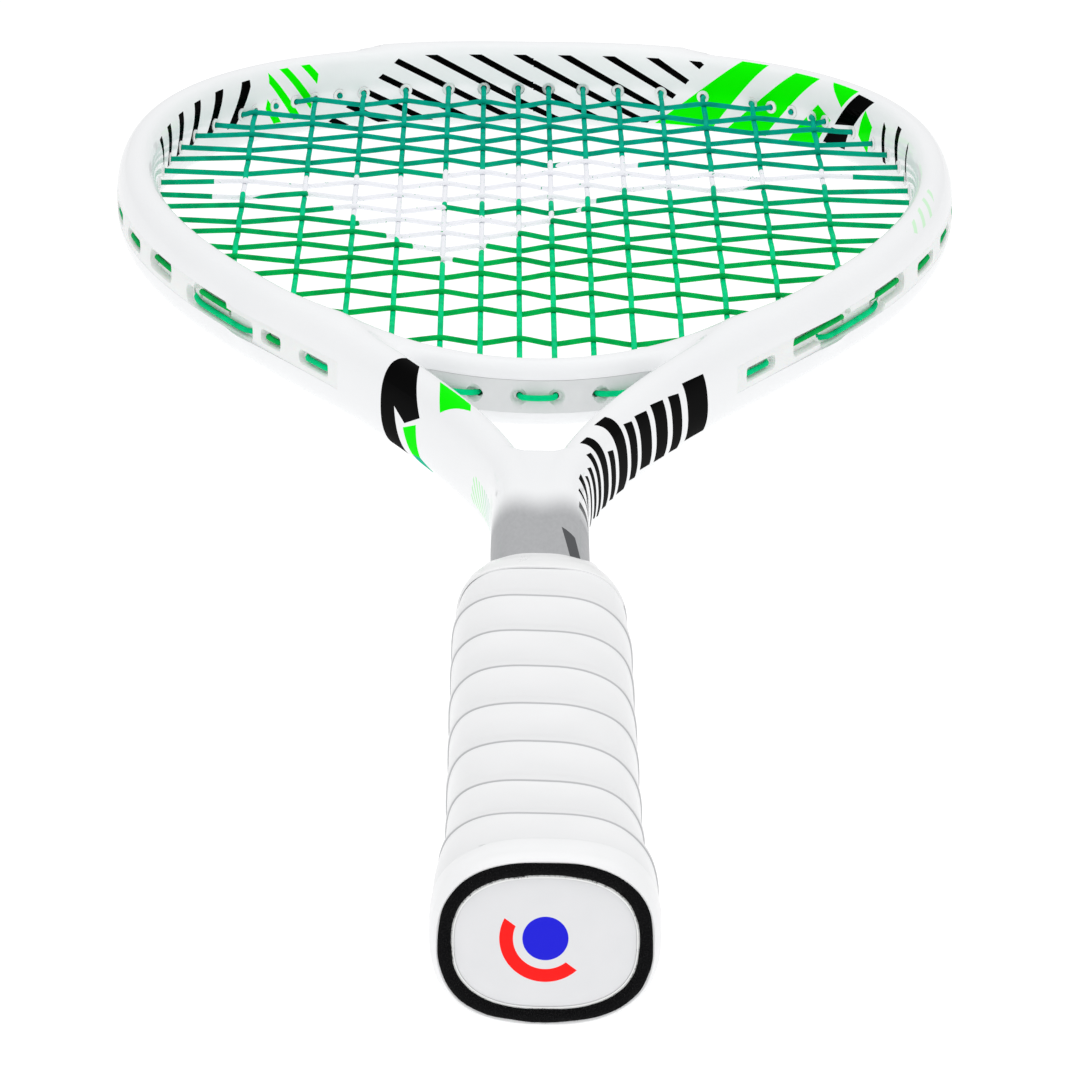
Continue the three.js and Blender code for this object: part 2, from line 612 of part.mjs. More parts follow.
const cap = cut(loft(coreOutline(0, GAP, CAP_SKIRT_Y)), [
  loft(badgeOutline(GAP, -1, BADGE_THICKNESS + GAP)),
  loft(coreOutline(SKIRT, CAP_FLOOR_Y, CAP_SKIRT_Y + 1)), ...stapleCuts]);
addPart('butt_cap', cap, 0xe4e4e2, 0.4);

const PLUG_LENGTH = 12;
const pallet = cut(
  join([
    loft(coreOutline(SKIRT + GAP, CAP_FLOOR_Y + GAP, CAP_SKIRT_Y + 4)),
    loft(outline(CORE_INSET, CAP_SKIRT_Y + GAP, TAPE_TOP_Y + 1)),
    loft(outline(collarInset, TAPE_TOP_Y + GAP, PALLET_TOP_Y)),
  ]),
  [shaftPrism(GAP * 2, SHAFT_END_Y - GAP, PALLET_TOP_Y + 1), ...stapleCuts]);
addPart('handle_pallet', pallet, 0x3a3632, 0.85);

for (const [name, side] of [['left', -1], ['right', 1]]) {
  const ends = [SHAFT_END_Y, SHAFT_END_Y + PLUG_LENGTH];
  const stations = ends.map((y) => flat(SHAFT_LINE_X * side, y));
  if (side > 0) stations.reverse();
  addPart(`shaft_plug_${name}`, sweep(stations, ellipse(
    CAVITY_HALF_WIDTH - GAP, CAVITY_HALF_HEIGHT - GAP, 8, -CAVITY_INSET)), 0xd8cfa8, 0.9);
}

export default group;
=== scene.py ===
# A squash racket, strung and gripped, seen from behind its butt and a little above it. Sizes are
# in millimetres and are made metres where a mesh is built. The origin is the middle of the butt
# badge, +Y runs to the head, +X across the racket and +Z out of the strings.
import functools
import math

import bmesh
import bpy
import numpy as np
from mathutils import Matrix, Vector
from mathutils.kdtree import KDTree


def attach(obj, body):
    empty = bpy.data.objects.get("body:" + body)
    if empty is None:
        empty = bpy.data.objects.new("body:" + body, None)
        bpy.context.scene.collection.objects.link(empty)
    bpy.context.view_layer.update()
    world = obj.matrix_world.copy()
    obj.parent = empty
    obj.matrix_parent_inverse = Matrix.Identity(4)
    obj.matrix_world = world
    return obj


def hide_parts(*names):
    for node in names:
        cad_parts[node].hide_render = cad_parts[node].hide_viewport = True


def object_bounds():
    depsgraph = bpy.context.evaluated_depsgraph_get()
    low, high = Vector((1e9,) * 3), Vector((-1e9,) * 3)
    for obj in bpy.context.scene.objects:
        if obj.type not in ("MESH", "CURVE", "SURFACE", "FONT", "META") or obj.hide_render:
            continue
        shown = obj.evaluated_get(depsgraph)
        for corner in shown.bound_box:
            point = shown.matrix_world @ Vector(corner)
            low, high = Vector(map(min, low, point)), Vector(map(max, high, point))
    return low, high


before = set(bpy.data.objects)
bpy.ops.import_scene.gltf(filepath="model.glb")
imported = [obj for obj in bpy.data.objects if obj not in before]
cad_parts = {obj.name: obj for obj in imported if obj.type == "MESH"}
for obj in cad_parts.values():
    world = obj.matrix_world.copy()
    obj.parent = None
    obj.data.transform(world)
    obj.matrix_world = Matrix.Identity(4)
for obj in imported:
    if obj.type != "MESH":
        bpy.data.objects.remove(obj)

cad_low, cad_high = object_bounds()

# ---- frame and throat bridge ----
# Carbon and glass cloth moulded as one: a hollow hairpin tube bent into the hoop, whose two arms
# close into the shaft, with a bridge across the throat. It is filled at the joins, sanded and
# lacquered white, with painted patches under the clear coat.
MM = 0.001
LENGTH = cad_high.y / MM
HEAD_HALF_WIDTH = 101.2
WIDEST_Y = 564.3
TUBE_WIDE = 5.3
TUBE_HIGH = 10.3
TUBE_POWER = 2.3
BUMPER_PROUD = 1.0
JUNCTION = (44.5, 390)
SHAFT_X = 4.9
SHAFT_TOP_Y = 262.5
SHAFT_END_Y = 24
TOP_Y = LENGTH - BUMPER_PROUD - TUBE_WIDE
TOP, WIDEST, BRIDGED = 0, 1, 2


def bezier(corners, steps=400):
    """Points and outward normals along one curve of the hoop's right half."""
    a, b, c, d = np.array(corners, float)
    t = np.linspace(0, 1, steps)[:, None]
    point = (1 - t) ** 3 * a + 3 * (1 - t) ** 2 * t * b + 3 * (1 - t) * t * t * c + t ** 3 * d
    slope = (1 - t) ** 2 * (b - a) + 2 * (1 - t) * t * (c - b) + t * t * (d - c)
    slope /= np.linalg.norm(slope, axis=1, keepdims=True)
    return np.hstack([point, np.stack([-slope[:, 1], slope[:, 0]], 1)])


right_curves = [
    bezier([(0, TOP_Y), (27.4, TOP_Y), (HEAD_HALF_WIDTH, 677), (HEAD_HALF_WIDTH, WIDEST_Y)]),
    bezier([(HEAD_HALF_WIDTH, WIDEST_Y), (HEAD_HALF_WIDTH, 488.5), (66.2, 431.7), JUNCTION]),
    bezier([JUNCTION, (30.2, 362.7), (SHAFT_X, 303), (SHAFT_X, SHAFT_TOP_Y)]),
    bezier([(SHAFT_X, y) for y in np.linspace(SHAFT_TOP_Y, SHAFT_END_Y, 4)]),
]
right_line = np.vstack(right_curves)
right_places = np.concatenate([
    np.linspace(index, index + 1, len(curve)) for index, curve in enumerate(right_curves)])
right_arc = np.concatenate([
    [0], np.cumsum(np.linalg.norm(np.diff(right_line[:, :2], axis=0), axis=1))])


def hoop(place, out=0.0):
    """Points so far outside the hoop's centre line, and its normals. A place is 0 at the top, 1
    at the widest, 2 at the bridge, 3 where the shaft starts, and negative on the left."""
    place = np.asarray(place, float)
    side = np.where(place < 0, -1.0, 1.0)
    x, y, across, along = (
        np.interp(np.abs(place), right_places, column) for column in right_line.T)
    normal = np.stack([side * across, along], -1)
    return np.stack([side * x, y], -1) + normal * out, normal


BRIDGE_LOW_Y = 371
BRIDGE_CURVE = 0.0165
BRIDGE_STRAIGHT_X = 32
BRIDGE_END_X = 58
BRIDGE_WIDE = 5.0
BRIDGE_HIGH = 7.8


def bridge(x, out=0.0):
    """Points so far below the throat bridge's centre line, and its normals."""
    x = np.asarray(x, float)
    reach = np.minimum(np.abs(x), BRIDGE_STRAIGHT_X)
    slope = 2 * BRIDGE_CURVE * reach * np.sign(x)
    y = BRIDGE_LOW_Y + BRIDGE_CURVE * reach ** 2 + np.abs(slope) * (np.abs(x) - reach)
    normal = np.stack([slope, -np.ones_like(x)], -1)
    normal /= np.linalg.norm(normal, axis=-1, keepdims=True)
    return np.stack([x, y], -1) + normal * out, normal


def oval(wide, high, sides, power=2.0):
    """A rounded section: distances out and up round a centre."""
    angle = np.linspace(0, 2 * np.pi, sides, endpoint=False)
    pair = np.stack([np.cos(angle), np.sin(angle)], -1)
    return np.sign(pair) * np.abs(pair) ** (2 / power) * (wide, high)


def rings(line, section):
    """A section set across a line's points and normals, one ring at each. A section may also
    be a row of sections, one for each point."""
    points, normals = line
    section = np.broadcast_to(section, (len(points),) + np.shape(section)[-2:])
    flat = points[:, None, :] + normals[:, None, :] * section[:, :, :1]
    return np.concatenate([flat, section[:, :, 1:]], -1)


def skin(rows, ends="capped"):
    """Points and faces of a body whose rings are given in order along it. Its ends are capped,
    joined to each other or left open."""
    index = np.arange(rows.shape[0] * rows.shape[1]).reshape(rows.shape[:2])
    here, there = (index, np.roll(index, -1, 0)) if ends == "joined" else (index[:-1], index[1:])
    corners = [here, np.roll(here, -1, 1), np.roll(there, -1, 1), there]
    faces = np.stack(corners, -1).reshape(-1, 4).tolist()
    if ends == "capped":
        faces += [index[0][::-1].tolist(), index[-1].tolist()]
    return rows.reshape(-1, 3), faces


def placed(name, data):
    """An object made of some data, in the scene."""
    piece = bpy.data.objects.new(name, data)
    bpy.context.scene.collection.objects.link(piece)
    return piece


def mesh_object(name, *parts):
    """An object from the points, in millimetres, and the faces of one or more bodies."""
    points, faces, first = [], [], 0
    for part_points, part_faces in parts:
        points.append(part_points)
        faces += [[first + corner for corner in face] for face in part_faces]
        first += len(part_points)
    mesh = bpy.data.meshes.new(name)
    mesh.from_pydata(np.vstack(points) * MM, [], faces)
    return placed(name, mesh)


def rework(piece, change):
    """Opens a piece's mesh for a change, which is a function."""
    work = bmesh.new()
    work.from_mesh(piece.data)
    change(work)
    work.to_mesh(piece.data)
    work.free()
    return piece


def weld(work):
    """Joins the doubled points of closed bodies and turns their faces outwards."""
    bmesh.ops.remove_doubles(work, verts=work.verts, dist=1e-4 * MM)
    bmesh.ops.recalc_face_normals(work, faces=work.faces)


def solid(name, *parts):
    """An object from one or more closed bodies."""
    return rework(mesh_object(name, *parts), weld)


def plain_mesh(piece):
    """Turns what a piece's modifiers make into its own mesh."""
    graph = bpy.context.evaluated_depsgraph_get()
    made = bpy.data.meshes.new_from_object(piece.evaluated_get(graph), depsgraph=graph)
    piece.modifiers.clear()
    if piece.type == "MESH":
        piece.data = made
        return piece
    name = piece.name
    bpy.data.objects.remove(piece)
    return placed(name, made)


def carve(piece, tool, operation="DIFFERENCE"):
    """Cuts a tool out of a piece, or joins it on, and puts the tool away."""
    modifier = piece.modifiers.new("carve", "BOOLEAN")
    modifier.operation = operation
    modifier.solver = "MANIFOLD"
    modifier.object = tool
    plain_mesh(piece)
    bpy.data.objects.remove(tool)
    return piece


def smooth_shade(piece, degrees=35):
    """Smooth shading that keeps edges sharper than an angle."""
    mesh = piece.data
    mesh.polygons.foreach_set("use_smooth", np.ones(len(mesh.polygons), bool))
    mesh.set_sharp_from_angle(angle=math.radians(degrees))
    return piece


def finished(piece, material, slot, *nodes):
    """Gives a piece its material and its place in the assembly."""
    piece.data.materials.clear()
    piece.data.materials.append(material)
    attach(piece, "root")
    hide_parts(*nodes)
    return piece


SHAFT_HALF = 10.0
SHAFT_CORNER = 16.5
SHAFT_BLEND_Y = 290.5
FINE_FROM_Y = 200
BRIDGE_FADE_X = 46
BRIDGE_FADE = 0.35
ARM_FILLET = 5.0
EDGE_FILLET = 1.6
SHAFT_END_FILLET = 3.5
SHAFT_FILLET = 1.8
BRIDGE_FILLET = 9.0
VOXEL = 0.96
NUDGE = 0.01
LONGEST_STEP = 2.5
LEG_PLACE = 3.26
BRIDGE_TUBE_X = 54


def tube_depth(out, up, wide, high):
    """How far a point is outside a tube's wall, measured from the tube's centre."""
    ratio = (np.abs(out / wide) ** TUBE_POWER + np.abs(up / high) ** TUBE_POWER) ** (1 / TUBE_POWER)
    return np.hypot(out, up) * (1 - 1 / np.maximum(ratio, 1e-3))


def fillet(first, second, size):
    """The nearer of two surfaces, with a fillet where they meet."""
    blend = np.maximum(size - np.abs(first - second), 0) / size
    return np.minimum(first, second) - blend ** 2 * size / 4


def frame_depth(points, right, left, across):
    """How far points are outside the whole moulding. The last three hold, for each point, the
    nearest point and normal of the right line, the mirrored left line and the bridge."""
    x, y, up = points.T
    depths = []
    for line, sign in ((right, 1), (left, -1)):
        out = (x * sign - line[:, 0]) * line[:, 2] + (y - line[:, 1]) * line[:, 3]
        depths.append(tube_depth(out, up, TUBE_WIDE, TUBE_HIGH))
    arms = fillet(*depths, ARM_FILLET)
    flats = [np.abs(x) - SHAFT_HALF, np.abs(up) - SHAFT_HALF,
             (np.abs(x) + np.abs(up) - SHAFT_CORNER) / math.sqrt(2)]
    shaft = -fillet(fillet(-flats[0], -flats[2], EDGE_FILLET), -flats[1], EDGE_FILLET)
    shaft = -fillet(-shaft, SHAFT_BLEND_Y - y, SHAFT_END_FILLET)
    out = (x - across[:, 0]) * across[:, 2] + (y - across[:, 1]) * across[:, 3]
    bar = tube_depth(out, up, BRIDGE_WIDE, BRIDGE_HIGH)
    bar = bar + np.maximum(np.abs(x) - BRIDGE_FADE_X, 0) * BRIDGE_FADE
    return fillet(fillet(arms, shaft, SHAFT_FILLET), bar, BRIDGE_FILLET)


def nearest(line, points):
    """The rows of a line that are nearest to flat points."""
    tree = KDTree(len(line))
    for index, (x, y) in enumerate(line[:, :2]):
        tree.insert((x, y, 0), index)
    tree.balance()
    return line[[tree.find((x, y, 0))[1] for x, y in points]]


def settle(points):
    """Moves points on to the moulding's true surface, square to it."""
    bridge_line = np.hstack(bridge(np.linspace(-BRIDGE_END_X, BRIDGE_END_X, 400)))
    for _ in range(2):
        flat = points[:, :2]
        lines = [nearest(right_line, flat), nearest(right_line, flat * (-1, 1)),
                 nearest(bridge_line, flat)]
        for _ in range(2):
            depth = frame_depth(points, *lines)
            slope = np.stack([
                (frame_depth(points + shift, *lines) - depth) / NUDGE
                for shift in np.eye(3) * NUDGE], -1)
            step = slope * (depth / np.maximum((slope ** 2).sum(-1), 0.2))[:, None]
            size = np.linalg.norm(step, axis=1, keepdims=True)
            step *= np.minimum(1, LONGEST_STEP / np.maximum(size, 1e-6))
            step[points[:, 1] < FINE_FROM_Y + 2] = 0
            points = points - step
    return points


def points_of(piece):
    """A piece's points, in millimetres."""
    places = np.empty(len(piece.data.vertices) * 3, np.float32)
    piece.data.vertices.foreach_get("co", places)
    return places.reshape(-1, 3).astype(float) / MM


def both_legs(place, steps):
    """Places from the left leg, over the head, to the right one."""
    return np.concatenate([-np.linspace(place, 1e-4, steps), np.linspace(0, place, steps)])


def along_shaft(low, high, steps):
    """Points and normals of a straight line up the shaft."""
    y = np.linspace(low, high, steps)
    return np.stack([np.zeros(steps), y], 1), np.tile((1.0, 0.0), (steps, 1))


def shaft_section(inset=0.0):
    """The shaft's square section with cut corners, so far inside the moulded one."""
    face, cut = SHAFT_HALF - inset, SHAFT_CORNER - SHAFT_HALF - inset
    return np.array([(face, -cut), (face, cut), (cut, face), (-cut, face),
                     (-face, cut), (-face, -cut), (-cut, -face), (cut, -face)])


racket_frame = solid(
    "racket_frame",
    skin(rings(hoop(both_legs(LEG_PLACE, 300)), oval(TUBE_WIDE, TUBE_HIGH, 40, TUBE_POWER))),
    skin(rings(along_shaft(FINE_FROM_Y, SHAFT_BLEND_Y - 2, 60), shaft_section())),
    skin(rings(bridge(np.linspace(-BRIDGE_TUBE_X, BRIDGE_TUBE_X, 80)),
               oval(BRIDGE_WIDE, BRIDGE_HIGH, 32))))
remesh = racket_frame.modifiers.new("remesh", "REMESH")
remesh.mode = "VOXEL"
remesh.voxel_size = VOXEL * MM
plain_mesh(racket_frame)
settled = settle(points_of(racket_frame)) * MM
racket_frame.data.vertices.foreach_set("co", settled.astype(np.float32).ravel())
racket_frame.data.update()

# The shaft inside the handle is never seen, so it is a coarse length joined on below.
carve(racket_frame, solid("hidden_shaft", skin(rings(
    along_shaft(SHAFT_END_Y, FINE_FROM_Y + 2, 2), shaft_section(0.1)))), "UNION")

CAVITY_WIDE = 2.6
CAVITY_HIGH = 8.6
CAVITY_SHIFT = -1.1
CAVITY_PLACE = 4
hollow = hoop(both_legs(CAVITY_PLACE, 90), CAVITY_SHIFT)
hollow[0][[0, -1], 1] -= 2
carve(racket_frame, solid("cavity", skin(rings(hollow, oval(CAVITY_WIDE, CAVITY_HIGH, 10)))))

# The groove for the grommet strips runs round the outside, and one for the throat strip below
# the bridge. Every string hole is drilled for its grommet barrel.
GROOVE_FLOOR = 2.7
GROOVE_HIGH = 3.2
GROOVE_END = 2.0605
CLEAR = 3.0
BRIDGE_GROOVE_HIGH = 3.9
BRIDGE_GROOVE_FLOOR = 2.4
BRIDGE_STRIP_REACH = 25.0


def slab(low, high, half):
    """A flat section from one distance out to another, so high each way."""
    return np.array([(low, -half), (high, -half), (high, half), (low, half)])


def over_head(place, steps):
    """Places from the left, over the head, to the right."""
    reach = np.linspace(0, place, steps)
    return np.concatenate([-reach[:0:-1], reach])


carve(racket_frame, solid("groove", skin(rings(
    hoop(over_head(GROOVE_END, 150)), slab(GROOVE_FLOOR, TUBE_WIDE + CLEAR, GROOVE_HIGH)))))
carve(racket_frame, solid("bridge_groove", skin(rings(
    bridge(np.linspace(-BRIDGE_STRIP_REACH - 0.4, BRIDGE_STRIP_REACH + 0.4, 60)),
    slab(BRIDGE_GROOVE_FLOOR, BRIDGE_WIDE + CLEAR, BRIDGE_GROOVE_HIGH)))))

MAIN_X = (4.1, 13.4, 22.9, 34.4, 45.7, 58.6, 74.2)
CROSS_Y = (415, 441.5, 457.5, 475, 489, 502, 514.5, 527.5, 540, 552.5, 565, 577.5, 590, 603,
           615.5, 628, 640, 655.5)
BRIDGE_MAINS = 3


def hole_place(low, high, axis, value):
    """The place on the right of the hoop where its inner face meets a string's line."""
    places = np.linspace(low, high, 6000)
    return places[np.argmin(np.abs(hoop(places, -TUBE_WIDE)[0][:, axis] - value))]


main_top = [hole_place(TOP, WIDEST, 0, x) for x in MAIN_X]
main_low = [hole_place(WIDEST, BRIDGED, 0, x) for x in MAIN_X]
main_low[BRIDGE_MAINS] = BRIDGED
cross_end = [hole_place(TOP, BRIDGED, 1, y) for y in CROSS_Y]
tie_cross_low = -(cross_end[0] + main_low[5]) / 2
tie_cross_high = -(main_top[4] + main_top[5]) / 2
tie_main = (main_top[6] + cross_end[-1]) / 2
one_side = main_top + main_low[BRIDGE_MAINS:] + cross_end + [tie_main]
hoop_holes = np.array(
    [-place for place in one_side] + one_side + [tie_cross_low, tie_cross_high])
bridge_holes = np.array([x * side for side in (-1, 1) for x in MAIN_X[:BRIDGE_MAINS]])


def add_node(tree, kind, settings=None, inputs=None):
    """Adds a node to a tree: its settings come first, then the values or links of its sockets."""
    node = tree.nodes.new(kind)
    for name, value in (settings or {}).items():
        setattr(node, name, value)
    for name, value in (inputs or {}).items():
        value = getattr(value, "socket", value)
        if isinstance(value, bpy.types.NodeSocket):
            tree.links.new(value, node.inputs[name])
        else:
            node.inputs[name].default_value = value
    return node


def shape_tree(name, sizes):
    """An empty Geometry Nodes tree with named sizes, and its input and output nodes."""
    tree = bpy.data.node_groups.new(name, "GeometryNodeTree")
    tree.interface.new_socket("Shape", in_out="INPUT", socket_type="NodeSocketGeometry")
    for size in sizes:
        tree.interface.new_socket(size, in_out="INPUT", socket_type="NodeSocketFloat")
    tree.interface.new_socket("Material", in_out="INPUT", socket_type="NodeSocketMaterial")
    tree.interface.new_socket("Shape", in_out="OUTPUT", socket_type="NodeSocketGeometry")
    return tree, tree.nodes.new("NodeGroupInput").outputs, tree.nodes.new("NodeGroupOutput")


def end_tree(tree, given, output, shape):
    """Closes a tree: instances made real, then the material."""
    real = add_node(tree, "GeometryNodeRealizeInstances", inputs={0: shape}).outputs[0]
    painted = add_node(tree, "GeometryNodeSetMaterial", inputs={0: real, 2: given["Material"]})
    tree.links.new(painted.outputs[0], output.inputs[0])


def grow(piece, tree, material=None, **sizes):
    """Runs a tree on a piece, with its sizes by name, and keeps the mesh that comes out."""
    modifier = piece.modifiers.new(tree.name, "NODES")
    modifier.node_group = tree
    for item in tree.interface.items_tree:
        if item.in_out == "INPUT" and item.name in sizes:
            modifier[item.identifier] = float(sizes[item.name])
        if item.in_out == "INPUT" and item.name == "Material":
            modifier[item.identifier] = material
    return plain_mesh(piece)


# A round peg on each point, lying along the point's direction and starting at the point.
peg_tree, peg_in, peg_out = shape_tree("pegs", ["Radius", "Length"])
peg = add_node(peg_tree, "GeometryNodeMeshCylinder", inputs={
    "Vertices": 16, "Radius": peg_in["Radius"], "Depth": peg_in["Length"]})
peg_shift = add_node(peg_tree, "ShaderNodeCombineXYZ", inputs={"Z": add_node(
    peg_tree, "ShaderNodeMath", {"operation": "MULTIPLY"},
    {0: peg_in["Length"], 1: 0.5}).outputs[0]})
peg_moved = add_node(peg_tree, "GeometryNodeTransform", inputs={
    "Geometry": peg.outputs["Mesh"], "Translation": peg_shift.outputs[0]})
peg_way = add_node(peg_tree, "GeometryNodeInputNamedAttribute", {"data_type": "FLOAT_VECTOR"}, {
    "Name": "direction"})
peg_turn = add_node(peg_tree, "FunctionNodeAlignRotationToVector", {"axis": "Z"}, {
    "Vector": peg_way.outputs["Attribute"]})
peg_set = add_node(peg_tree, "GeometryNodeInstanceOnPoints", inputs={
    "Points": peg_in["Shape"], "Instance": peg_moved.outputs[0], "Rotation": peg_turn.outputs[0]})
end_tree(peg_tree, peg_in, peg_out, peg_set.outputs[0])


def pegs(name, points, directions, radius, length):
    """Round pegs from flat points along flat directions, as one object."""
    level = np.zeros((len(points), 1))
    piece = mesh_object(name, (np.hstack([points, level]), []))
    ways = piece.data.attributes.new("direction", "FLOAT_VECTOR", "POINT")
    ways.data.foreach_set("vector", np.hstack([directions, level]).ravel())
    return grow(piece, peg_tree, Radius=radius * MM, Length=length * MM)


HOLE_RADIUS = 1.76
BARREL_RADIUS = 1.7
BORE_RADIUS = 0.85
down = np.tile((0.0, -1.0), (len(bridge_holes), 1))
carve(racket_frame, pegs(
    "hoop_drill", *hoop(hoop_holes, -TUBE_WIDE - CLEAR), HOLE_RADIUS, TUBE_WIDE * 2))
carve(racket_frame, pegs(
    "bridge_drill", bridge(bridge_holes)[0] + (0, BRIDGE_WIDE + CLEAR + 2), down, HOLE_RADIUS,
    BRIDGE_WIDE * 2 + CLEAR + 1))
# The mains beside the bridge's ends need their holes opened through the fillet there.
for main, entry_y in ((BRIDGE_MAINS, 396), (BRIDGE_MAINS + 1, 403)):
    entry = np.array([(MAIN_X[main] * side, entry_y) for side in (-1, 1)])
    carve(racket_frame, pegs("entry_drill", entry, -down[:2], HOLE_RADIUS, 9))
smooth_shade(racket_frame, 30)

# Each point keeps its distance along the tube from the top of the head, its angle round the
# tube, 0 outside and 90 above, and how far out of the centre line it is, so that paint follows
# the moulding.
places = points_of(racket_frame)
near_line = nearest(np.hstack([right_line, right_arc[:, None]]), np.abs(places[:, :2]))
aside, onward = np.abs(places[:, 0]) - near_line[:, 0], places[:, 1] - near_line[:, 1]
outward = aside * near_line[:, 2] + onward * near_line[:, 3]
lean = onward * near_line[:, 2] - aside * near_line[:, 3]
turn = np.degrees(np.arctan2(places[:, 2] / TUBE_HIGH, outward / TUBE_WIDE))
paint_place = racket_frame.data.attributes.new("paint_place", "FLOAT_VECTOR", "POINT")
paint_place.data.foreach_set("vector", np.stack(
    [near_line[:, 4] - lean, turn, outward], 1).astype(np.float32).ravel())


def math_node(operation):
    """A method that adds one Math node on its value and another number."""
    def run(self, other=0.0):
        node = self.finish.node("ShaderNodeMath", {"operation": operation}, {0: self, 1: other})
        return Value(self.finish, node.outputs[0])
    return run


class Value:
    """A number that varies over a surface. Arithmetic on it adds Math nodes."""

    def __init__(self, finish, socket):
        self.finish = finish
        self.socket = socket

    __add__ = math_node("ADD")
    __sub__ = math_node("SUBTRACT")
    __mul__ = math_node("MULTIPLY")
    __mod__ = math_node("FLOORED_MODULO")
    __gt__ = math_node("GREATER_THAN")
    __lt__ = math_node("LESS_THAN")
    __abs__ = math_node("ABSOLUTE")
    most = math_node("MAXIMUM")
    sine = math_node("SINE")

    def between(self, low, high):
        return (self > low) * (self < high)

    def ramp(self, low, high, start=0.0, end=1.0):
        node = self.finish.node("ShaderNodeMapRange", {"interpolation_type": "SMOOTHSTEP"}, {
            0: self, 1: low, 2: high, 3: start, 4: end})
        return Value(self.finish, node.outputs[0])


class Finish:
    """A material in the making, over one principled shader."""

    def __init__(self, name, **constants):
        self.material = bpy.data.materials.new(name)
        self.material.use_nodes = True
        self.tree = self.material.node_tree
        self.shader = self.tree.nodes["Principled BSDF"]
        for socket, value in constants.items():
            self.shader.inputs[socket.replace("_", " ")].default_value = value

    def node(self, kind, settings=None, inputs=None):
        return add_node(self.tree, kind, settings, inputs)

    def set(self, socket, value):
        self.tree.links.new(getattr(value, "socket", value), self.shader.inputs[socket])

    def parts(self, vector):
        node = self.node("ShaderNodeSeparateXYZ", inputs={0: vector})
        return [Value(self, socket) for socket in node.outputs]

    def place(self):
        """Where a point is, in millimetres, as a vector and as its three numbers."""
        metres = self.node("ShaderNodeTexCoord").outputs["Object"]
        scaled = self.node("ShaderNodeVectorMath", {"operation": "SCALE"}, {
            0: metres, "Scale": 1 / MM}).outputs[0]
        return scaled, *self.parts(scaled)

    def attribute(self, name):
        return self.parts(self.node(
            "ShaderNodeAttribute", {"attribute_name": name}).outputs["Vector"])

    def noise(self, where, size, detail, stretch=(1, 1, 1)):
        """Noise from 0 to 1 with grains of about a size in millimetres."""
        spot = self.node("ShaderNodeMapping", inputs={"Vector": where, "Scale": stretch})
        node = self.node("ShaderNodeTexNoise", inputs={
            "Vector": spot.outputs[0], "Scale": 1 / size, "Detail": detail, "Roughness": 0.5})
        return Value(self, node.outputs[0])

    def mix(self, share, first, second):
        node = self.node("ShaderNodeMix", {"data_type": "RGBA"}, {0: share, 6: first, 7: second})
        return node.outputs[2]

    def bump(self, height, depth, **under):
        """A bump of so many millimetres. It may lie over an earlier one, given as Normal."""
        return self.node("ShaderNodeBump", inputs={
            "Height": height, "Distance": depth * MM, "Strength": 1.0, **under}).outputs[0]

    def patch(self, across, along, corners):
        """1 inside a convex patch of paint, whose corners run clockwise or the other way."""
        middle = np.mean(corners, axis=0)
        sides = []
        for (x0, y0), (x1, y1) in zip(corners, corners[1:] + corners[:1]):
            edge = (y0 - y1, x1 - x0, x0 * y1 - x1 * y0)
            sign = 1 if edge[0] * middle[0] + edge[1] * middle[1] + edge[2] > 0 else -1
            sides.append((across * (sign * edge[0]) + along * (sign * edge[1])) > -sign * edge[2])
        return functools.reduce(Value.__mul__, sides)

    def patches(self, across, along, *outlines):
        """1 inside any of several convex patches."""
        return functools.reduce(
            Value.most, [self.patch(across, along, corners) for corners in outlines])


def colour(red, green, blue):
    """A colour for a shader from its three screen values."""
    return tuple((value / 255) ** 2.2 for value in (red, green, blue)) + (1.0,)


WHITE = colour(236, 237, 238)
BLACK = colour(1, 1, 2)
GREEN = colour(16, 240, 0)
TEAL = colour(0, 178, 140)
SILVER = colour(158, 159, 161)
SLATE = colour(84, 85, 87)
ARM_START = 366
HEAD_END = 200

lacquer = Finish("white_lacquer", Coat_Roughness=0.04, Coat_IOR=1.4, Specular_IOR_Level=0.0)
where, x, y, up = lacquer.place()
arc, turn, outward = lacquer.attribute("paint_place")
on_arm = (arc > ARM_START) * (outward > -2.5)
on_left_arm = on_arm * (x < 0)
on_right_arm = on_arm * (x > 0)
on_head = (outward < -1.2) * (arc < HEAD_END)
patch, patches = lacquer.patch, lacquer.patches
coats = [lacquer.mix(lacquer.noise(where, 40, 3), colour(230, 231, 233), WHITE)]
printed = []


def lay(mask, paint, matt=True):
    """Lays one more colour over the earlier ones. Print is matt beside the lacquer."""
    coats.append(lacquer.mix(mask, coats[-1], paint))
    if matt:
        printed.append(mask)


# The left arm: a black band round the tube with a white wedge in it, and green patches.
lay(patches(
    arc, turn, [(393, 102), (400.8, 102), (417.8, 17), (408, -4), (393, 25)],
    [(393, 30), (401.3, 9), (403.7, -41), (405, -75), (393, -75)]) * on_left_arm, BLACK)
lay(patches(
    arc, turn, [(406.9, -11), (415.6, 5), (416, -40), (409.5, -46)],
    [(414.5, 99), (433.8, 107), (439.8, 86), (428.9, 42)]) * on_left_arm, GREEN)
lay(patch(arc, turn, [(409.5, -46), (416, -40), (422, -52), (417, -80)]) * on_left_arm, TEAL)
marks = ((arc * 0.9 + turn * 0.16) % 3.1).between(0.5, 1.7) * patch(
    arc, turn, [(462, 12), (486, 12), (488, -28), (458, -28)])
lay(marks * on_left_arm * 0.55, lacquer.mix(arc.ramp(466, 484), GREEN, TEAL), matt=False)

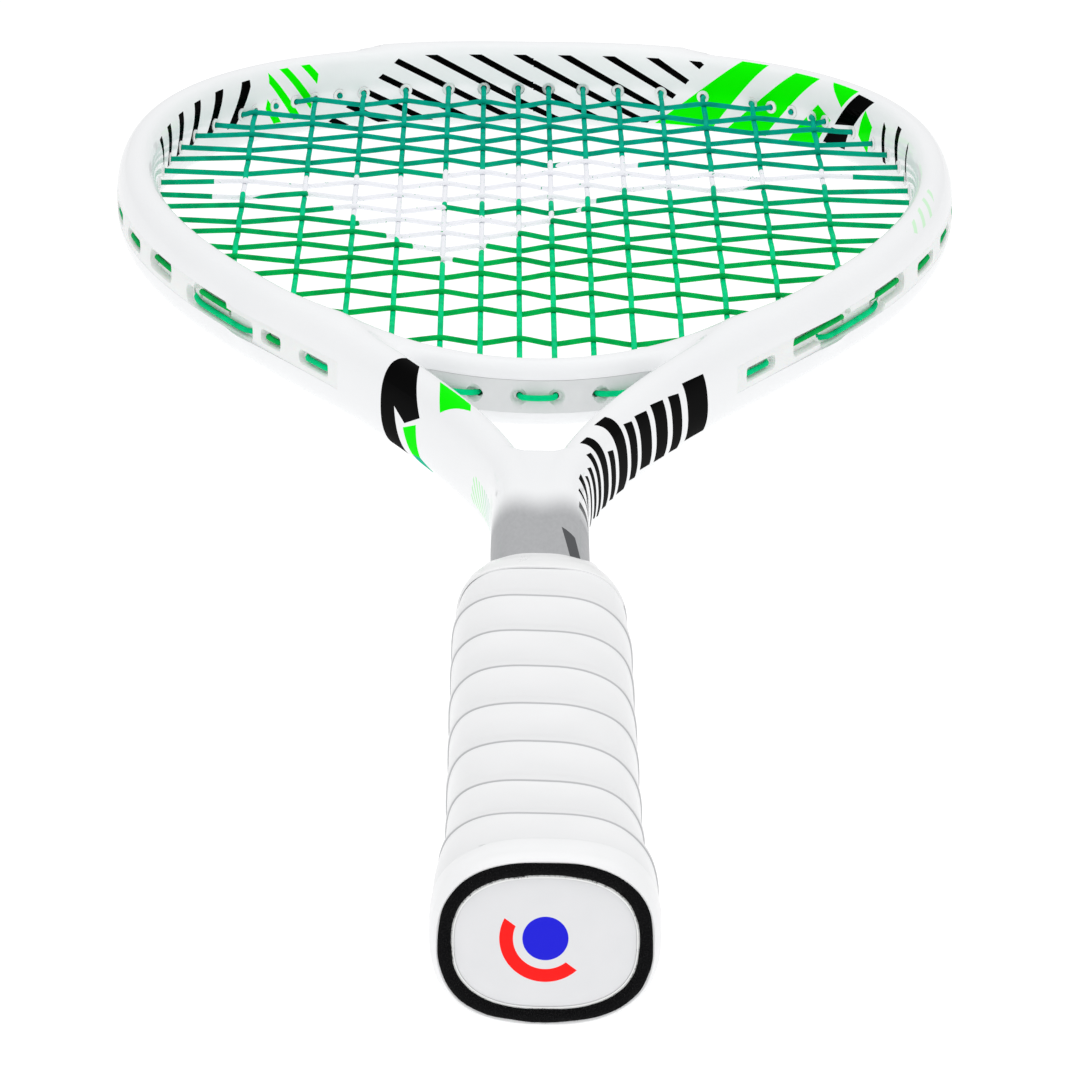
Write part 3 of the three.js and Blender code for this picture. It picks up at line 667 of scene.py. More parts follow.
# The right arm: upright black bars of different widths, which thin out down to the shaft. Each
# is given by its start and end along the arm, and its low and high angle round the tube.
BAR_SLOPE = 0.035
lay(patches(arc, turn, *[
    [(start + BAR_SLOPE * low, low), (end + BAR_SLOPE * low, low + 5),
     (end + BAR_SLOPE * high, high), (start + BAR_SLOPE * high, high - 5)]
    for start, end, low, high in (
        (385, 397.5, -50, 40), (401, 407.5, -52, 36), (410.5, 418.5, -46, 42),
        (421.5, 429.5, -38, 44), (432, 437.5, -40, 46), (440, 447.5, -44, 88),
        (450, 454.5, -40, 34), (457, 462.5, -38, 86), (465, 468.5, -38, 60),
        (471, 474.5, -30, 46), (477.5, 480.5, -30, 44))]) * on_right_arm, BLACK)
for high_y, low_y in ((271, 266.5), (260, 257.5), (250, 245), (237, 234)):
    bar = patch(y, up, [(high_y + 3, 8.8), (low_y + 3, 9), (low_y - 6, 0), (high_y - 6, 0)])
    lay(bar * (x > 7), BLACK)

# Inside the head: slanted black stripes, green and black blocks, and strokes on the left.
reach = arc * ((x > 0) * 2 - 1)
stripes = ((reach + up * 2) % 12.3 < 3.6) * patch(
    reach, up, [(-37, 9), (-62, -9), (33, -9), (40, -1), (50, 9)])
blocks = patches(
    reach, up, [(59, 10.2), (67.5, 10.2), (51, -9), (34, -9)],
    [(77.5, 9.8), (87, 9.8), (68, -9), (55, -9)], [(92.5, 9.9), (105, 9.9), (101, 5)],
    [(90, 3.8), (96.5, 0.7), (87, -9), (76, -9)], [(114, 7), (121, 4), (118, -4), (112, 0)])
dark = patches(
    reach, up, [(106.3, 9.5), (116, 9.4), (109, 1.8), (98.5, 0)],
    [(106, -1), (97, -1), (92, -6), (103, -6)], [(128, 7), (131, 6), (134, -3), (131, -3)],
    [(139, 8.5), (143, 8.5), (150, -1), (146, -1)], [(155, 8), (158, 7), (166, 0), (163, 0)])
strokes = ((reach * -1 + up * 0.9) % 13.5 < 4.4) * patch(
    reach * -1, up, [(88, 8.2), (160, 7.4), (163, -1), (92, -3)])
slashes = ((reach + up * 0.8) % 7.6 < 3.0) * patch(
    reach * -1, up, [(62, 9), (80, 9), (85, -5), (67, -5)])
lay(stripes.most(dark).most(strokes) * on_head, BLACK)
lay(blocks.most(slashes) * on_head, GREEN)
pale_marks = ((arc + turn * 0.22) % 9 < 3) * patch(
    arc, turn, [(212, 88), (226, 92), (256, 66), (250, 46), (228, 50)]) * (outward > 0)
lay(pale_marks * (x > 0) * 0.3, GREEN, matt=False)

# The shaft: a silver fade with a fine cloth grain, and one slate patch.
silver = y.ramp(258, 236) * (abs(x) < 30)
cloth = lacquer.noise(where, 0.8, 2, stretch=(1, 0.35, 1))
lay(silver, lacquer.mix(cloth, SILVER, colour(172, 173, 175)), matt=False)
lay(patch(x, y, [(4.4, 228), (7.2, 222), (9.4, 196), (6.4, 202)]) * (up > 7), SLATE)
print_mask = functools.reduce(Value.most, printed + [silver * 0.8])
lacquer.set("Coat Weight", print_mask * -0.5 + 0.55)
lacquer.set("Base Color", coats[-1])
lacquer.set("Roughness", lacquer.noise(where, 12, 2).ramp(0.2, 0.8, 0.16, 0.24))
lacquer.set("Normal", lacquer.bump(lacquer.noise(where, 9, 2), 0.015))
finished(racket_frame, lacquer.material, "frame_lacquer", "frame", "throat_bridge")

# ---- side grommet strips ----
# Moulded nylon strips pressed into the groove, one down each side. Their barrels line the string
# holes, and the strings lie in pockets in their outer face.
STRIP_FLOOR = 3.0
STRIP_HIGH = 3.17
STRIP_START = hole_place(TOP, WIDEST, 1, 609.5)
STRIP_END = 2.06
STRIP_GAP = 0.004
BARREL_STANDOUT = 0.35
POCKET_FLOOR = 3.7
POCKET_EDGE = 4.75
POCKET_RIM = 5.25
POCKET_LIP = 0.45
POCKET_HALF = 1.35
POCKET_END = 1.6
LOOP_UP = 1.5

# Each loop of string outside the hoop: its two holes and its height. Where mains and crosses
# share a stretch of the side, the mains lie below and the crosses above.
main_loops = []
for side in (-1, 1):
    main_loops += [(side * main_top[i], side * main_top[i + 1], -LOOP_UP * (i == 4))
                   for i in (0, 2, 4)]
    main_loops += [(side * main_low[i], side * main_low[i + 1], -LOOP_UP * (i == 5))
                   for i in (3, 5)]
tie_loops = [(side * main_top[6], side * tie_main, -LOOP_UP) for side in (-1, 1)]
tie_loops += [(-cross_end[0], tie_cross_low, 0.0), (-cross_end[-1], tie_cross_high, LOOP_UP)]
cross_loops = []
for row in range(len(CROSS_Y) - 1):
    side = 1 if row % 2 == 0 else -1
    height = LOOP_UP if row < 4 or row + 4 > len(CROSS_Y) else 0.0
    cross_loops.append((side * cross_end[row], side * cross_end[row + 1], height))


def mirrored(half, middle=0.0):
    """A closed section from the half of it below a middle height, as distances out and down."""
    return [(out, middle - down) for out, down in half] + [
        (out, middle + up) for out, up in reversed(half)]


def pocket(start, end, height):
    """The cutter for one round-ended pocket with a flared lip."""
    low, high = sorted((start, end))
    low_point, high_point = hoop([low, high])[0]
    length = np.linalg.norm(high_point - low_point)
    grow_by = POCKET_END / length * (high - low)
    share = (1 - np.cos(np.linspace(0, np.pi, 22))) / 2
    line = hoop(low - grow_by + share * (high - low + 2 * grow_by))
    from_end = np.minimum(share, 1 - share) * (length + 2 * POCKET_END)
    round_off = np.sqrt(np.maximum(1 - (1 - np.minimum(from_end / POCKET_HALF, 1)) ** 2, 0.02))
    bottom, top = min(height, 0) - POCKET_HALF, max(height, 0) + POCKET_HALF
    inners = (top - bottom) / 2 * round_off
    return skin(rings(line, np.array([mirrored(
        [(POCKET_FLOOR, inner * 0.9), (POCKET_EDGE, inner), (POCKET_RIM, inner + POCKET_LIP),
         (TUBE_WIDE + CLEAR, inner + POCKET_LIP + 2)], (bottom + top) / 2) for inner in inners])))


def fit_grommets(strip, holes, pockets=()):
    """Adds barrels to a strip, cuts its groups of pockets and bores it for the string."""
    carve(strip, pegs("barrels", *hoop(holes, -TUBE_WIDE - BARREL_STANDOUT), BARREL_RADIUS,
                      TUBE_WIDE + BARREL_STANDOUT + STRIP_FLOOR + 0.4), "UNION")
    for group in filter(None, pockets):
        carve(strip, solid("pockets", *group))
    carve(strip, pegs(
        "bores", *hoop(holes, -TUBE_WIDE - CLEAR), BORE_RADIUS, 2 * (TUBE_WIDE + CLEAR)))
    return smooth_shade(strip, 40)


def grained(name, tones, gloss, depth, grains, stretch=(1, 1, 1), **constants):
    """A plain finish whose colour, roughness and bump follow grains of noise, each given by its
    size and detail. One grain may do for all three."""
    finish = Finish(name, **constants)
    where = finish.place()[0]
    noises = [finish.noise(where, *grain, stretch) for grain in grains] * 3
    finish.set("Base Color", finish.mix(noises[0], *(colour(*tone) for tone in tones)))
    finish.set("Roughness", noises[1].ramp(0.2, 0.8, *gloss))
    finish.set("Normal", finish.bump(noises[2], depth))
    return finish


nylon = grained("white_nylon", [(224, 226, 226), (233, 235, 234)], (0.34, 0.46), 0.02,
                [(9, 3), (3, 2), (0.5, 3)], Specular_IOR_Level=0.2, Subsurface_Weight=0.05,
                Subsurface_Scale=1.5 * MM)
side_face = [(TUBE_WIDE * (1 - (abs(up) / TUBE_HIGH) ** TUBE_POWER) ** (1 / TUBE_POWER) - 0.02, up)
             for up in np.linspace(-STRIP_HIGH, STRIP_HIGH, 9)]
side_section = np.array([(STRIP_FLOOR, -STRIP_HIGH)] + side_face + [(STRIP_FLOOR, STRIP_HIGH)])
for name, side in (("left", -1), ("right", 1)):
    line = hoop(side * np.linspace(STRIP_START + STRIP_GAP, STRIP_END, 170))
    strip = solid(f"side_grommets_{name}", skin(rings(line, side_section)))
    fit_grommets(strip, hoop_holes[hoop_holes * side > STRIP_START], [
        [pocket(start, end, height) for start, end, height in loops
         if start * side > 0 and max(abs(start), abs(end)) > STRIP_START]
        for loops in (main_loops, cross_loops, tie_loops)])
    finished(strip, nylon.material, "grommet_plastic", f"side_grommet_strip_{name}")

# ---- head bumper ----
# A thicker nylon guard over the head that takes the knocks on the court wall and floor. It
# clips over the tube on both sides of the groove, with the strings in a channel between.
BUMPER_END_FADE = 60.0
BUMPER_WING = 4.62
BUMPER_SHOULDER = 5.02
CHANNEL_HALF = 2.4
bumper_places = over_head(STRIP_START - STRIP_GAP, 150)
bumper_arc = np.interp(np.abs(bumper_places), right_places, right_arc)
fade = np.clip((bumper_arc.max() - bumper_arc) / BUMPER_END_FADE, 0, 1)
bumper_rows = []
for height in BUMPER_PROUD * np.sin(fade * np.pi / 2):
    crown = TUBE_WIDE + height
    bumper_rows.append(mirrored([
        (STRIP_FLOOR, STRIP_HIGH), (4.9, STRIP_HIGH), (BUMPER_WING, 6.3),
        (BUMPER_WING + 0.25 * height, 6.75), (BUMPER_SHOULDER + 0.45 * height, 6.0),
        (crown - 0.12, 4.6), (crown, 3.9), (crown - 0.06, CHANNEL_HALF + 0.35),
        (crown - 0.4, CHANNEL_HALF), (POCKET_FLOOR, CHANNEL_HALF)]))
bumper = solid("bumper_guard", skin(rings(hoop(bumper_places), np.array(bumper_rows))))
fit_grommets(bumper, hoop_holes[np.abs(hoop_holes) < STRIP_START])
finished(bumper, nylon.material, "grommet_plastic", "head_bumper")

# ---- throat grommet strip ----
# A short nylon strip set in the underside of the bridge, with a countersunk hole for each of
# the six middle mains.
THROAT_FACE = BRIDGE_WIDE - 0.35
SINK_SIDES = 24
throat = solid("throat_grommets", skin(rings(
    bridge(np.linspace(-BRIDGE_STRIP_REACH, BRIDGE_STRIP_REACH, 60)),
    slab(STRIP_FLOOR, THROAT_FACE, BRIDGE_GROOVE_HIGH - 0.06))))
bridge_middles, bridge_normals = bridge(bridge_holes)
barrel_tops = bridge_middles + np.stack(
    [np.zeros(len(bridge_holes)), BARREL_STANDOUT - BRIDGE_WIDE / bridge_normals[:, 1]], -1)
for middle, top in zip(bridge_middles, barrel_tops):
    carve(throat, pegs("barrel", top[None], down[:1], BARREL_RADIUS,
                       top[1] - middle[1] + STRIP_FLOOR + 0.5), "UNION")
carve(throat, pegs("bores", barrel_tops + (0, 2), down, BORE_RADIUS, 22))
sinks = []
for hole in bridge_holes:
    (sink_x, sink_y), _ = bridge(hole, THROAT_FACE)
    sinks.append(skin(np.array([
        [(sink_x + out, sink_y - drop, up) for out, up in oval(radius, radius, SINK_SIDES)]
        for drop, radius in ((-1.1, 0.9), (-0.5, 1.35), (0.1, 2.2), (2, 3))])))
carve(throat, solid("countersinks", *sinks))
grey_nylon = grained("grey_nylon", [(205, 207, 208), (220, 222, 222)], (0.4, 0.55), 0.02,
                     [(6, 3), (3, 2), (0.5, 3)], Specular_IOR_Level=0.4)
finished(smooth_shade(throat, 40), grey_nylon.material, "grommet_plastic", "throat_grommet_strip")

# ---- strings ----
# Two lengths of multifilament nylon, drawn about 1.4 mm thick and woven under tension: each
# bends round the other where they cross. A white stencil is sprayed across the bed.
STRING_RADIUS = 0.69
BEND = 0.62
NEAR = 1.1
LOOP_OUT = 4.55
MOUTH = TUBE_WIDE + 0.9
columns = sorted([-x for x in MAIN_X] + list(MAIN_X))


def in_hole(place, out, height=0.0):
    (px, py), _ = hoop(place, out)
    return [px, py, height]


def hoop_loop(start, end, height):
    """Out through one hole, along the outside in its pocket, and back in through the other."""
    middle = [in_hole(start + (end - start) * share, LOOP_OUT, height)
              for share in (0.1, 0.3, 0.5, 0.7, 0.9)]
    return [in_hole(start, -MOUTH), in_hole(start, -1.0), in_hole(start, 3.4, height * 0.5),
            *middle, in_hole(end, 3.4, height * 0.5), in_hole(end, -1.0), in_hole(end, -MOUTH)]


def bridge_loop(start, end):
    """The same under the bridge, where a loop bows a little away from the strip."""
    def hole(x, drop):
        return [x, float(bridge(x)[0][1]) - drop, 0.0]
    middle = [[*bridge(start + (end - start) * share, 5.2 + bow)[0], 0.0]
              for share, bow in ((0.12, 0.1), (0.3, 0.5), (0.5, 0.65), (0.7, 0.5), (0.88, 0.1))]
    return [hole(start, -MOUTH - 0.5), hole(start, 0), hole(start, 4.2), *middle,
            hole(end, 4.2), hole(end, 0), hole(end, -MOUTH - 0.5)]


def weave(x, y, step_x, step_y, height):
    """Three points of a string as it bends over or under another."""
    return [[x + step_x * step, y + step_y * step, height * swell]
            for step, swell in ((-NEAR, 1.0), (0, 1.06), (NEAR, 1.0))]


def bend(row, column):
    """How high a cross passes at a main. The main passes as far below it."""
    return BEND if (row + column) % 2 == 0 else -BEND


def main_run(index, side):
    """A main from its top hole down to its low one."""
    x = MAIN_X[index] * side
    top_y = in_hole(main_top[index], -TUBE_WIDE)[1] - 3
    low_y = (float(bridge(x)[0][1]) + 7.5 if index < BRIDGE_MAINS
             else in_hole(main_low[index], -TUBE_WIDE)[1] + 3)
    points = []
    for row, y in reversed(list(enumerate(CROSS_Y))):
        if low_y < y < top_y:
            points += weave(x, y, 0, -1, -bend(row, columns.index(x)))
    return points


def cross_run(row):
    """A cross from the left to the right."""
    reach = in_hole(cross_end[row], -TUBE_WIDE)[0] - 3
    points = []
    for column, x in enumerate(columns):
        if abs(x) < reach:
            points += weave(x, CROSS_Y[row], 1, 0, bend(row, column))
    return points


def find_loop(start, end):
    """The loop between two holes, from the first to the second."""
    height = next(height for one, other, height in main_loops + cross_loops + tie_loops
                  if {one, other} == {start, end})
    return hoop_loop(start, end, height)


def mains_side(side):
    """One half of the mains, from its tie-off to the middle of the bridge."""
    points = find_loop(side * tie_main, side * main_top[6])
    for index in range(len(MAIN_X) - 1, -1, -1):
        going_down = index % 2 == 0
        run = main_run(index, side)
        points += run if going_down else run[::-1]
        if index == 0:
            break
        if not going_down:
            points += find_loop(side * main_top[index], side * main_top[index - 1])
        elif index > BRIDGE_MAINS:
            points += find_loop(side * main_low[index], side * main_low[index - 1])
        else:
            points += bridge_loop(side * MAIN_X[index], side * MAIN_X[index - 1])
    return points


# A round cord along a curve, with its ends closed.
string_tree, string_in, string_out = shape_tree("string", ["Radius"])
string_ring = add_node(string_tree, "GeometryNodeCurvePrimitiveCircle", {"mode": "RADIUS"}, {
    "Resolution": 8, "Radius": string_in["Radius"]})
string_skin = add_node(string_tree, "GeometryNodeCurveToMesh", inputs={
    "Curve": string_in["Shape"], "Profile Curve": string_ring.outputs[0], "Fill Caps": True})
string_smooth = add_node(string_tree, "GeometryNodeSetShadeSmooth", inputs={
    "Geometry": string_skin.outputs[0]})
end_tree(string_tree, string_in, string_out, string_smooth.outputs[0])


def string(name, points, material):
    """A string along its points, which it rounds off a little."""
    curve = bpy.data.curves.new(name, "CURVE")
    curve.dimensions = "3D"
    spline = curve.splines.new("NURBS")
    spline.points.add(len(points) - 1)
    flat = np.hstack([np.array(points, float) * MM, np.ones((len(points), 1))])
    spline.points.foreach_set("co", flat.ravel())
    spline.order_u = 3
    spline.use_endpoint_u = True
    spline.resolution_u = 3
    return grow(placed(name, curve), string_tree, material, Radius=STRING_RADIUS * MM)


def string_finish(name, near, far):
    """Multifilament under a thin resin coat: green at the throat and bluer towards the head,
    with fine twisted filaments and the white stencil over it."""
    finish = Finish(name, Coat_Weight=0.05, Coat_Roughness=0.2, Specular_IOR_Level=0.0)
    where, x, y, z = finish.place()
    tone = finish.mix(y.ramp(470, 640), near, far)
    mottled = finish.noise(where, 5, 3)
    dark = finish.node("ShaderNodeVectorMath", {"operation": "SCALE"}, {
        0: tone, "Scale": 0.72}).outputs[0]
    tone = finish.mix(mottled.ramp(0.35, 0.75), tone, dark)
    inner = (abs(x) < 82) * (y > 450)
    band = abs(y - 568 - x * 0.10) < 9
    tail = finish.patch(x, y, [(-62, 560), (30, 600), (12, 540), (-22, 486)])
    gap = finish.patch(x, y, [(-30, 545), (20, 552), (14, 541), (-10, 530)])
    stencil = band.most(tail * (gap < 0.5)) * inner
    ragged = finish.noise(where, 0.7, 2) > 0.3
    tone = finish.mix(stencil * ragged, tone, colour(232, 233, 238))
    finish.set("Base Color", tone)
    finish.set("Roughness", mottled.ramp(0.2, 0.8, 0.32, 0.5))
    twist = ((x + y + z * 2) * 4.2).sine()
    finish.set("Normal", finish.bump(twist, 0.02))
    return finish.material


main_green = string_finish("main_string_coat", colour(0, 208, 132), colour(0, 166, 140))
cross_green = string_finish("cross_string_coat", colour(0, 172, 80), colour(0, 156, 132))
mains = string("mains", mains_side(-1) + bridge_loop(-MAIN_X[0], MAIN_X[0])
               + mains_side(1)[::-1], main_green)
cross_points = find_loop(tie_cross_low, -cross_end[0])
for row in range(len(CROSS_Y)):
    run = cross_run(row)
    cross_points += run if row % 2 == 0 else run[::-1]
    side = 1 if row % 2 == 0 else -1
    if row + 1 < len(CROSS_Y):
        cross_points += find_loop(side * cross_end[row], side * cross_end[row + 1])
cross_points += find_loop(-cross_end[-1], tie_cross_high)
crosses = string("crosses", cross_points, cross_green)
finished(mains, main_green, "main_string", "main_string")
finished(crosses, cross_green, "cross_string", "cross_string")

# ---- handle pallet, plugs and staples ----
# The pallet is hard foam moulded on to the end of the shaft, two soft foam plugs close the
# shaft's legs, and two wire staples hold the cap. All of them are covered when it is gripped.
foam = grained("dense_foam", [(58, 52, 48), (86, 78, 72)], (0.8, 0.95), 0.12, [(0.9, 4)],
               Specular_IOR_Level=0.2)
plug = grained("soft_plug_foam", [(205, 190, 140), (232, 222, 178)], (0.85, 0.98), 0.15,
               [(0.5, 4)], Specular_IOR_Level=0.2)
steel = grained("galvanised_wire", [(176, 178, 182), (205, 207, 210)], (0.25, 0.4), 0.01,
                [(0.3, 3)], stretch=(0.2, 1, 1), Metallic=1.0)
cap_plastic = grained("cap_polypropylene", [(226, 227, 226), (236, 237, 236)], (0.34, 0.46), 0.02,
                      [(0.6, 3)])
for node, finish in (
        ("shaft_plug_left", plug), ("shaft_plug_right", plug), ("cap_staple_top", steel),
        ("cap_staple_bottom", steel)):
    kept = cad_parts[node]
    kept.data.materials.clear()
    kept.data.materials.append(finish.material)

# ---- grip tape ----
# A strip of soft white polyurethane, wound up the handle from the butt in a spiral. Each turn
# laps over the one below, so its edge makes a low step facing the butt; the shade under that step
# is painted on as a grey line.
GRIP_TOP_Y = 198
GRIP_TOP_DIP = 9.0
GRIP_THICK = 0.7
GRIP_SIDES = 96
SECTION_POWER = 2.9
BUTT_POWER = 2.5
CAP_SHAPE_Y = 24.1
PITCH = 23.6
FIRST_SEAM_Y = 26.0
LAP = 0.3
# The gripped handle: distance from the butt, half width, half height.
HANDLE = np.array([
    (0.3, 19.4, 15.2), (0.9, 20.3, 16.1), (2.5, 21.1, 16.8), (7, 21.3, 17), (20, 20.9, 16.6),
    (30, 19.9, 15.6), (42, 18.7, 14.5), (60, 18.5, 14.2), (170, 18.25, 14), (180, 18, 13.9),
    (190, 17.2, 13.6), (198, 16.1, 13.4), (221, 11.9, 11.6)])


def handle_point(y, angle, rise=0.0):
    """A point of the gripped handle's surface, raised by so much."""
    smooth_y = y[..., None] + np.linspace(-4, 4, 9)
    wide, high = (np.interp(smooth_y, HANDLE[:, 0], HANDLE[:, column]).mean(-1)
                  for column in (1, 2))
    near_butt = np.clip(y / 6, 0, 1)
    wide = wide * near_butt + np.interp(y, HANDLE[:, 0], HANDLE[:, 1]) * (1 - near_butt) + rise
    high = high * near_butt + np.interp(y, HANDLE[:, 0], HANDLE[:, 2]) * (1 - near_butt) + rise
    c, s = np.cos(angle), np.sin(angle)
    power = np.interp(y, [5, 24], [BUTT_POWER, SECTION_POWER])
    x = wide * np.sign(c) * np.abs(c) ** (2 / power)
    z = high * np.sign(s) * np.abs(s) ** (2 / power)
    return np.stack([x, y, z], -1)


angle = np.linspace(0, 2 * np.pi, GRIP_SIDES, endpoint=False)


def handle_rings(distances, rise, angles=angle):
    """Rings of the gripped handle's points at some distances from the butt."""
    y = np.repeat(distances[:, None], len(angles), 1)
    return handle_point(y, np.broadcast_to(angles, y.shape), rise)


def flat_ring(y, wide, high, power=BUTT_POWER, sides=GRIP_SIDES):
    """One level ring round the handle's middle line."""
    row = oval(wide, high, sides, power)
    return np.stack([row[:, 0], np.full(sides, y), row[:, 1]], -1)


def sleeve_object(name, sections):
    """A hollow body round the handle, from the closed line of its wall: at each point the
    distance from the butt, half width and half height."""
    return solid(name, skin(np.array([
        flat_ring(y, wide, high, BUTT_POWER if y < CAP_SHAPE_Y else SECTION_POWER)
        for y, wide, high in sections]), "joined"))


# The cap: a floor behind the badge, and a skirt which slips over the end of the pallet.
butt_cap = sleeve_object("end_cap", [
    (0.5, 16.66, 12.41), (0.45, 16.9, 12.65), (0.7, 17.2, 12.95), (24, 17, 12.8),
    (24, 16, 11.8), (5, 16, 11.8), (5, 0.4, 0.4), (1.3, 0.4, 0.4), (1.3, 16.66, 12.41)])
finished(smooth_shade(butt_cap, 40), cap_plastic.material, "cap_plastic", "butt_cap")
pallet = sleeve_object("foam_pallet", [
    (5.3, 15.7, 11.5), (24.2, 15.7, 11.5), (24.3, 16.7, 12.4), (170, 16.2, 12), (186, 15.6, 11.8),
    (199, 13.6, 10.9), (199, 10.3, 10.3), (5.3, 10.3, 10.3)])
finished(smooth_shade(pallet, 40), foam.material, "pallet_foam", "handle_pallet")

turn_phase = np.concatenate([
    [0.0, 0.006, 0.014], np.linspace(0.03, 0.16, 7), np.linspace(0.2, 0.92, 14), [0.96, 0.985]])
row_phase = (np.arange(-2, 10)[:, None] + turn_phase).ravel()
# Seams fall from left to right across the top, so a row drops as the angle falls.
spiral = row_phase[:, None] + (angle / (2 * np.pi) - 0.25)[None, :]
grip_y = FIRST_SEAM_Y + PITCH * spiral
phase = row_phase % 1.0
lap = np.interp(phase, [0, 0.014, 0.11, 0.19, 1.0], [0, LAP, LAP, 0.0, 0.0])
sag = 0.03 * np.sin(np.clip((phase - 0.19) / 0.81, 0, 1) * np.pi)
rise = np.broadcast_to((lap - sag)[:, None], grip_y.shape)
grip_end = GRIP_TOP_Y - GRIP_TOP_DIP * np.abs(np.sin(angle)) ** 1.5
ends = np.clip(np.minimum(grip_y - 12, grip_end - grip_y) / 4, 0, 1)
clipped_y = np.clip(grip_y, 9.0, grip_end)
wave = 0.06 * np.sin(angle * 7)[None, :] * np.sin(clipped_y * 0.31) + 0.05 * np.sin(
    angle * 3 + clipped_y * 0.13)
grip_points = handle_point(clipped_y, np.broadcast_to(angle, grip_y.shape), rise * ends + wave)
count = len(row_phase)
per_turn = len(turn_phase)
# A row's last face meets the first point of the row one turn further on, where there is one.
index = np.arange(count * GRIP_SIDES).reshape(count, GRIP_SIDES)
after = np.concatenate([index[per_turn:, 0], np.full(per_turn, -1)])
index = np.hstack([index, after[:, None]])
grip_faces = np.stack(
    [index[:-1, :-1], index[:-1, 1:], index[1:, 1:], index[1:, :-1]], -1).reshape(-1, 4)
grip_faces = grip_faces[grip_faces.min(1) >= 0].tolist()


def clean_sheet(work):
    """Joins the doubled points of an open sheet, clears its slivers and turns it outwards."""
    bmesh.ops.remove_doubles(work, verts=work.verts, dist=0.01 * MM)
    bmesh.ops.dissolve_degenerate(work, edges=work.edges, dist=0.005 * MM)
    bmesh.ops.delete(work, geom=[v for v in work.verts if not v.link_faces], context="VERTS")
    bmesh.ops.recalc_face_normals(work, faces=work.faces)
    sample = max(work.faces, key=lambda face: face.calc_center_median().x)
    if sample.normal.x < 0:
        bmesh.ops.reverse_faces(work, faces=work.faces)


def thick_sheet(piece, thickness):
    """Gives an open sheet a thickness, inwards, and closes its rims."""
    rework(piece, clean_sheet)
    thick = piece.modifiers.new("thickness", "SOLIDIFY")
    thick.thickness = thickness * MM
    thick.offset = -1
    return plain_mesh(piece)


# The tape's folded end covers the flare: a short cuff over the last turn, rolled in at the butt.
cuff_y = np.concatenate([[0.25, 0.3, 0.5, 0.9, 1.6], np.linspace(2.5, 9.4, 8), [9.6, 9.75, 9.8]])
cuff_rise = np.concatenate([
    [0.5, 0.55, 0.35, 0.1, 0.05], np.linspace(0.08, 0.1, 8), [0.06, -0.1, -0.35]])
cuff_wave = 0.08 * np.sin(angle * 5 + cuff_y[:, None]) * np.sin(angle * 2)
grip = mesh_object("grip_wrap", (grip_points.reshape(-1, 3), grip_faces),
                   skin(handle_rings(cuff_y, cuff_rise[:, None] + cuff_wave), "open"))
# The edge attribute is 1 along the lapped edges and the cuff's top, where shadow is painted.
grip.data.attributes.new("edge", "FLOAT", "POINT").data.foreach_set("value", np.concatenate([
    np.interp(np.repeat(phase, GRIP_SIDES), [0, 0.007, 0.014, 0.985, 1], [1, 1, 0.2, 0, 1]),
    np.interp(np.repeat(cuff_y, GRIP_SIDES), [9.5, 9.6], [0, 1])]))
thick_sheet(grip, GRIP_THICK)
leather = Finish("white_polyurethane", Specular_IOR_Level=0.3, Coat_Weight=0.12,
                 Coat_Roughness=0.25)
where, x, y, z = leather.place()
mottle = leather.noise(where, 14, 3)
pores = leather.noise(where, 0.32, 3)
tone = leather.mix(mottle, colour(231, 232, 233), colour(238, 238, 239))
seam_shadow = Value(leather, leather.node(
    "ShaderNodeAttribute", {"attribute_name": "edge"}).outputs["Fac"])
# Painted shadow: a grey line along each lapped edge and the cuff's top, standing in for the shade
# under the step.
tone = leather.mix(seam_shadow * 0.75, tone, colour(150, 151, 154))
leather.set("Base Color", tone)
leather.set("Roughness", mottle.ramp(0.2, 0.8, 0.34, 0.46))
leather.set("Normal", leather.bump(pores, 0.03, Normal=leather.bump(mottle, 0.12)))
finished(smooth_shade(grip, 50), leather.material, "grip_skin", "grip_tape")

# ---- grip backing ----
# The black felt on the tape's back. It shows where the tape is cut at the butt, as a bulging
# ring of fibres round the cap; under the tape it is a thin sleeve.
FELT_OUT = (20.2, 15.95)
FELT_IN = (16.72, 12.47)


def felt_ring(y, out):
    """One closed line round the butt between the felt's inner and outer edges."""
    wide, high = (low + (high - low) * out for low, high in zip(FELT_IN, FELT_OUT))
    c, s = np.cos(angle), np.sin(angle)
    ripple = 0.10 * np.sin(angle * 9 + out * 4) + 0.07 * np.sin(angle * 17 - out * 3)
    return np.stack([
        (wide + ripple) * np.sign(c) * np.abs(c) ** (2 / BUTT_POWER),
        np.full(GRIP_SIDES, y) + 0.06 * np.sin(angle * 13),
        (high + ripple) * np.sign(s) * np.abs(s) ** (2 / BUTT_POWER)], -1)


felt_section = [(5.0, 0.0), (1.4, 0.0), (0.75, 0.1), (0.4, 0.3), (0.3, 0.5), (0.4, 0.72),
                (0.75, 0.92), (1.3, 1.0), (5.0, 1.0)]
felt_rows = np.array([felt_ring(y, out) for y, out in felt_section])
felt_body = skin(felt_rows, "joined")
sleeve_y = np.array([4.6, 30.0, 60.0, 120.0, 197.0])
sleeve = skin(np.concatenate([
    handle_rings(sleeve_y, -0.95, angle[::2]), handle_rings(sleeve_y[::-1], -1.85, angle[::2])]),
    "joined")
backing = solid("felt_backing", felt_body, sleeve)
felt = grained("black_felt", [(4, 4, 5), (24, 24, 26)], (0.85, 1.0), 0.25, [(0.35, 4)],
               Specular_IOR_Level=0.05, Sheen_Weight=0.12, Sheen_Roughness=0.5)

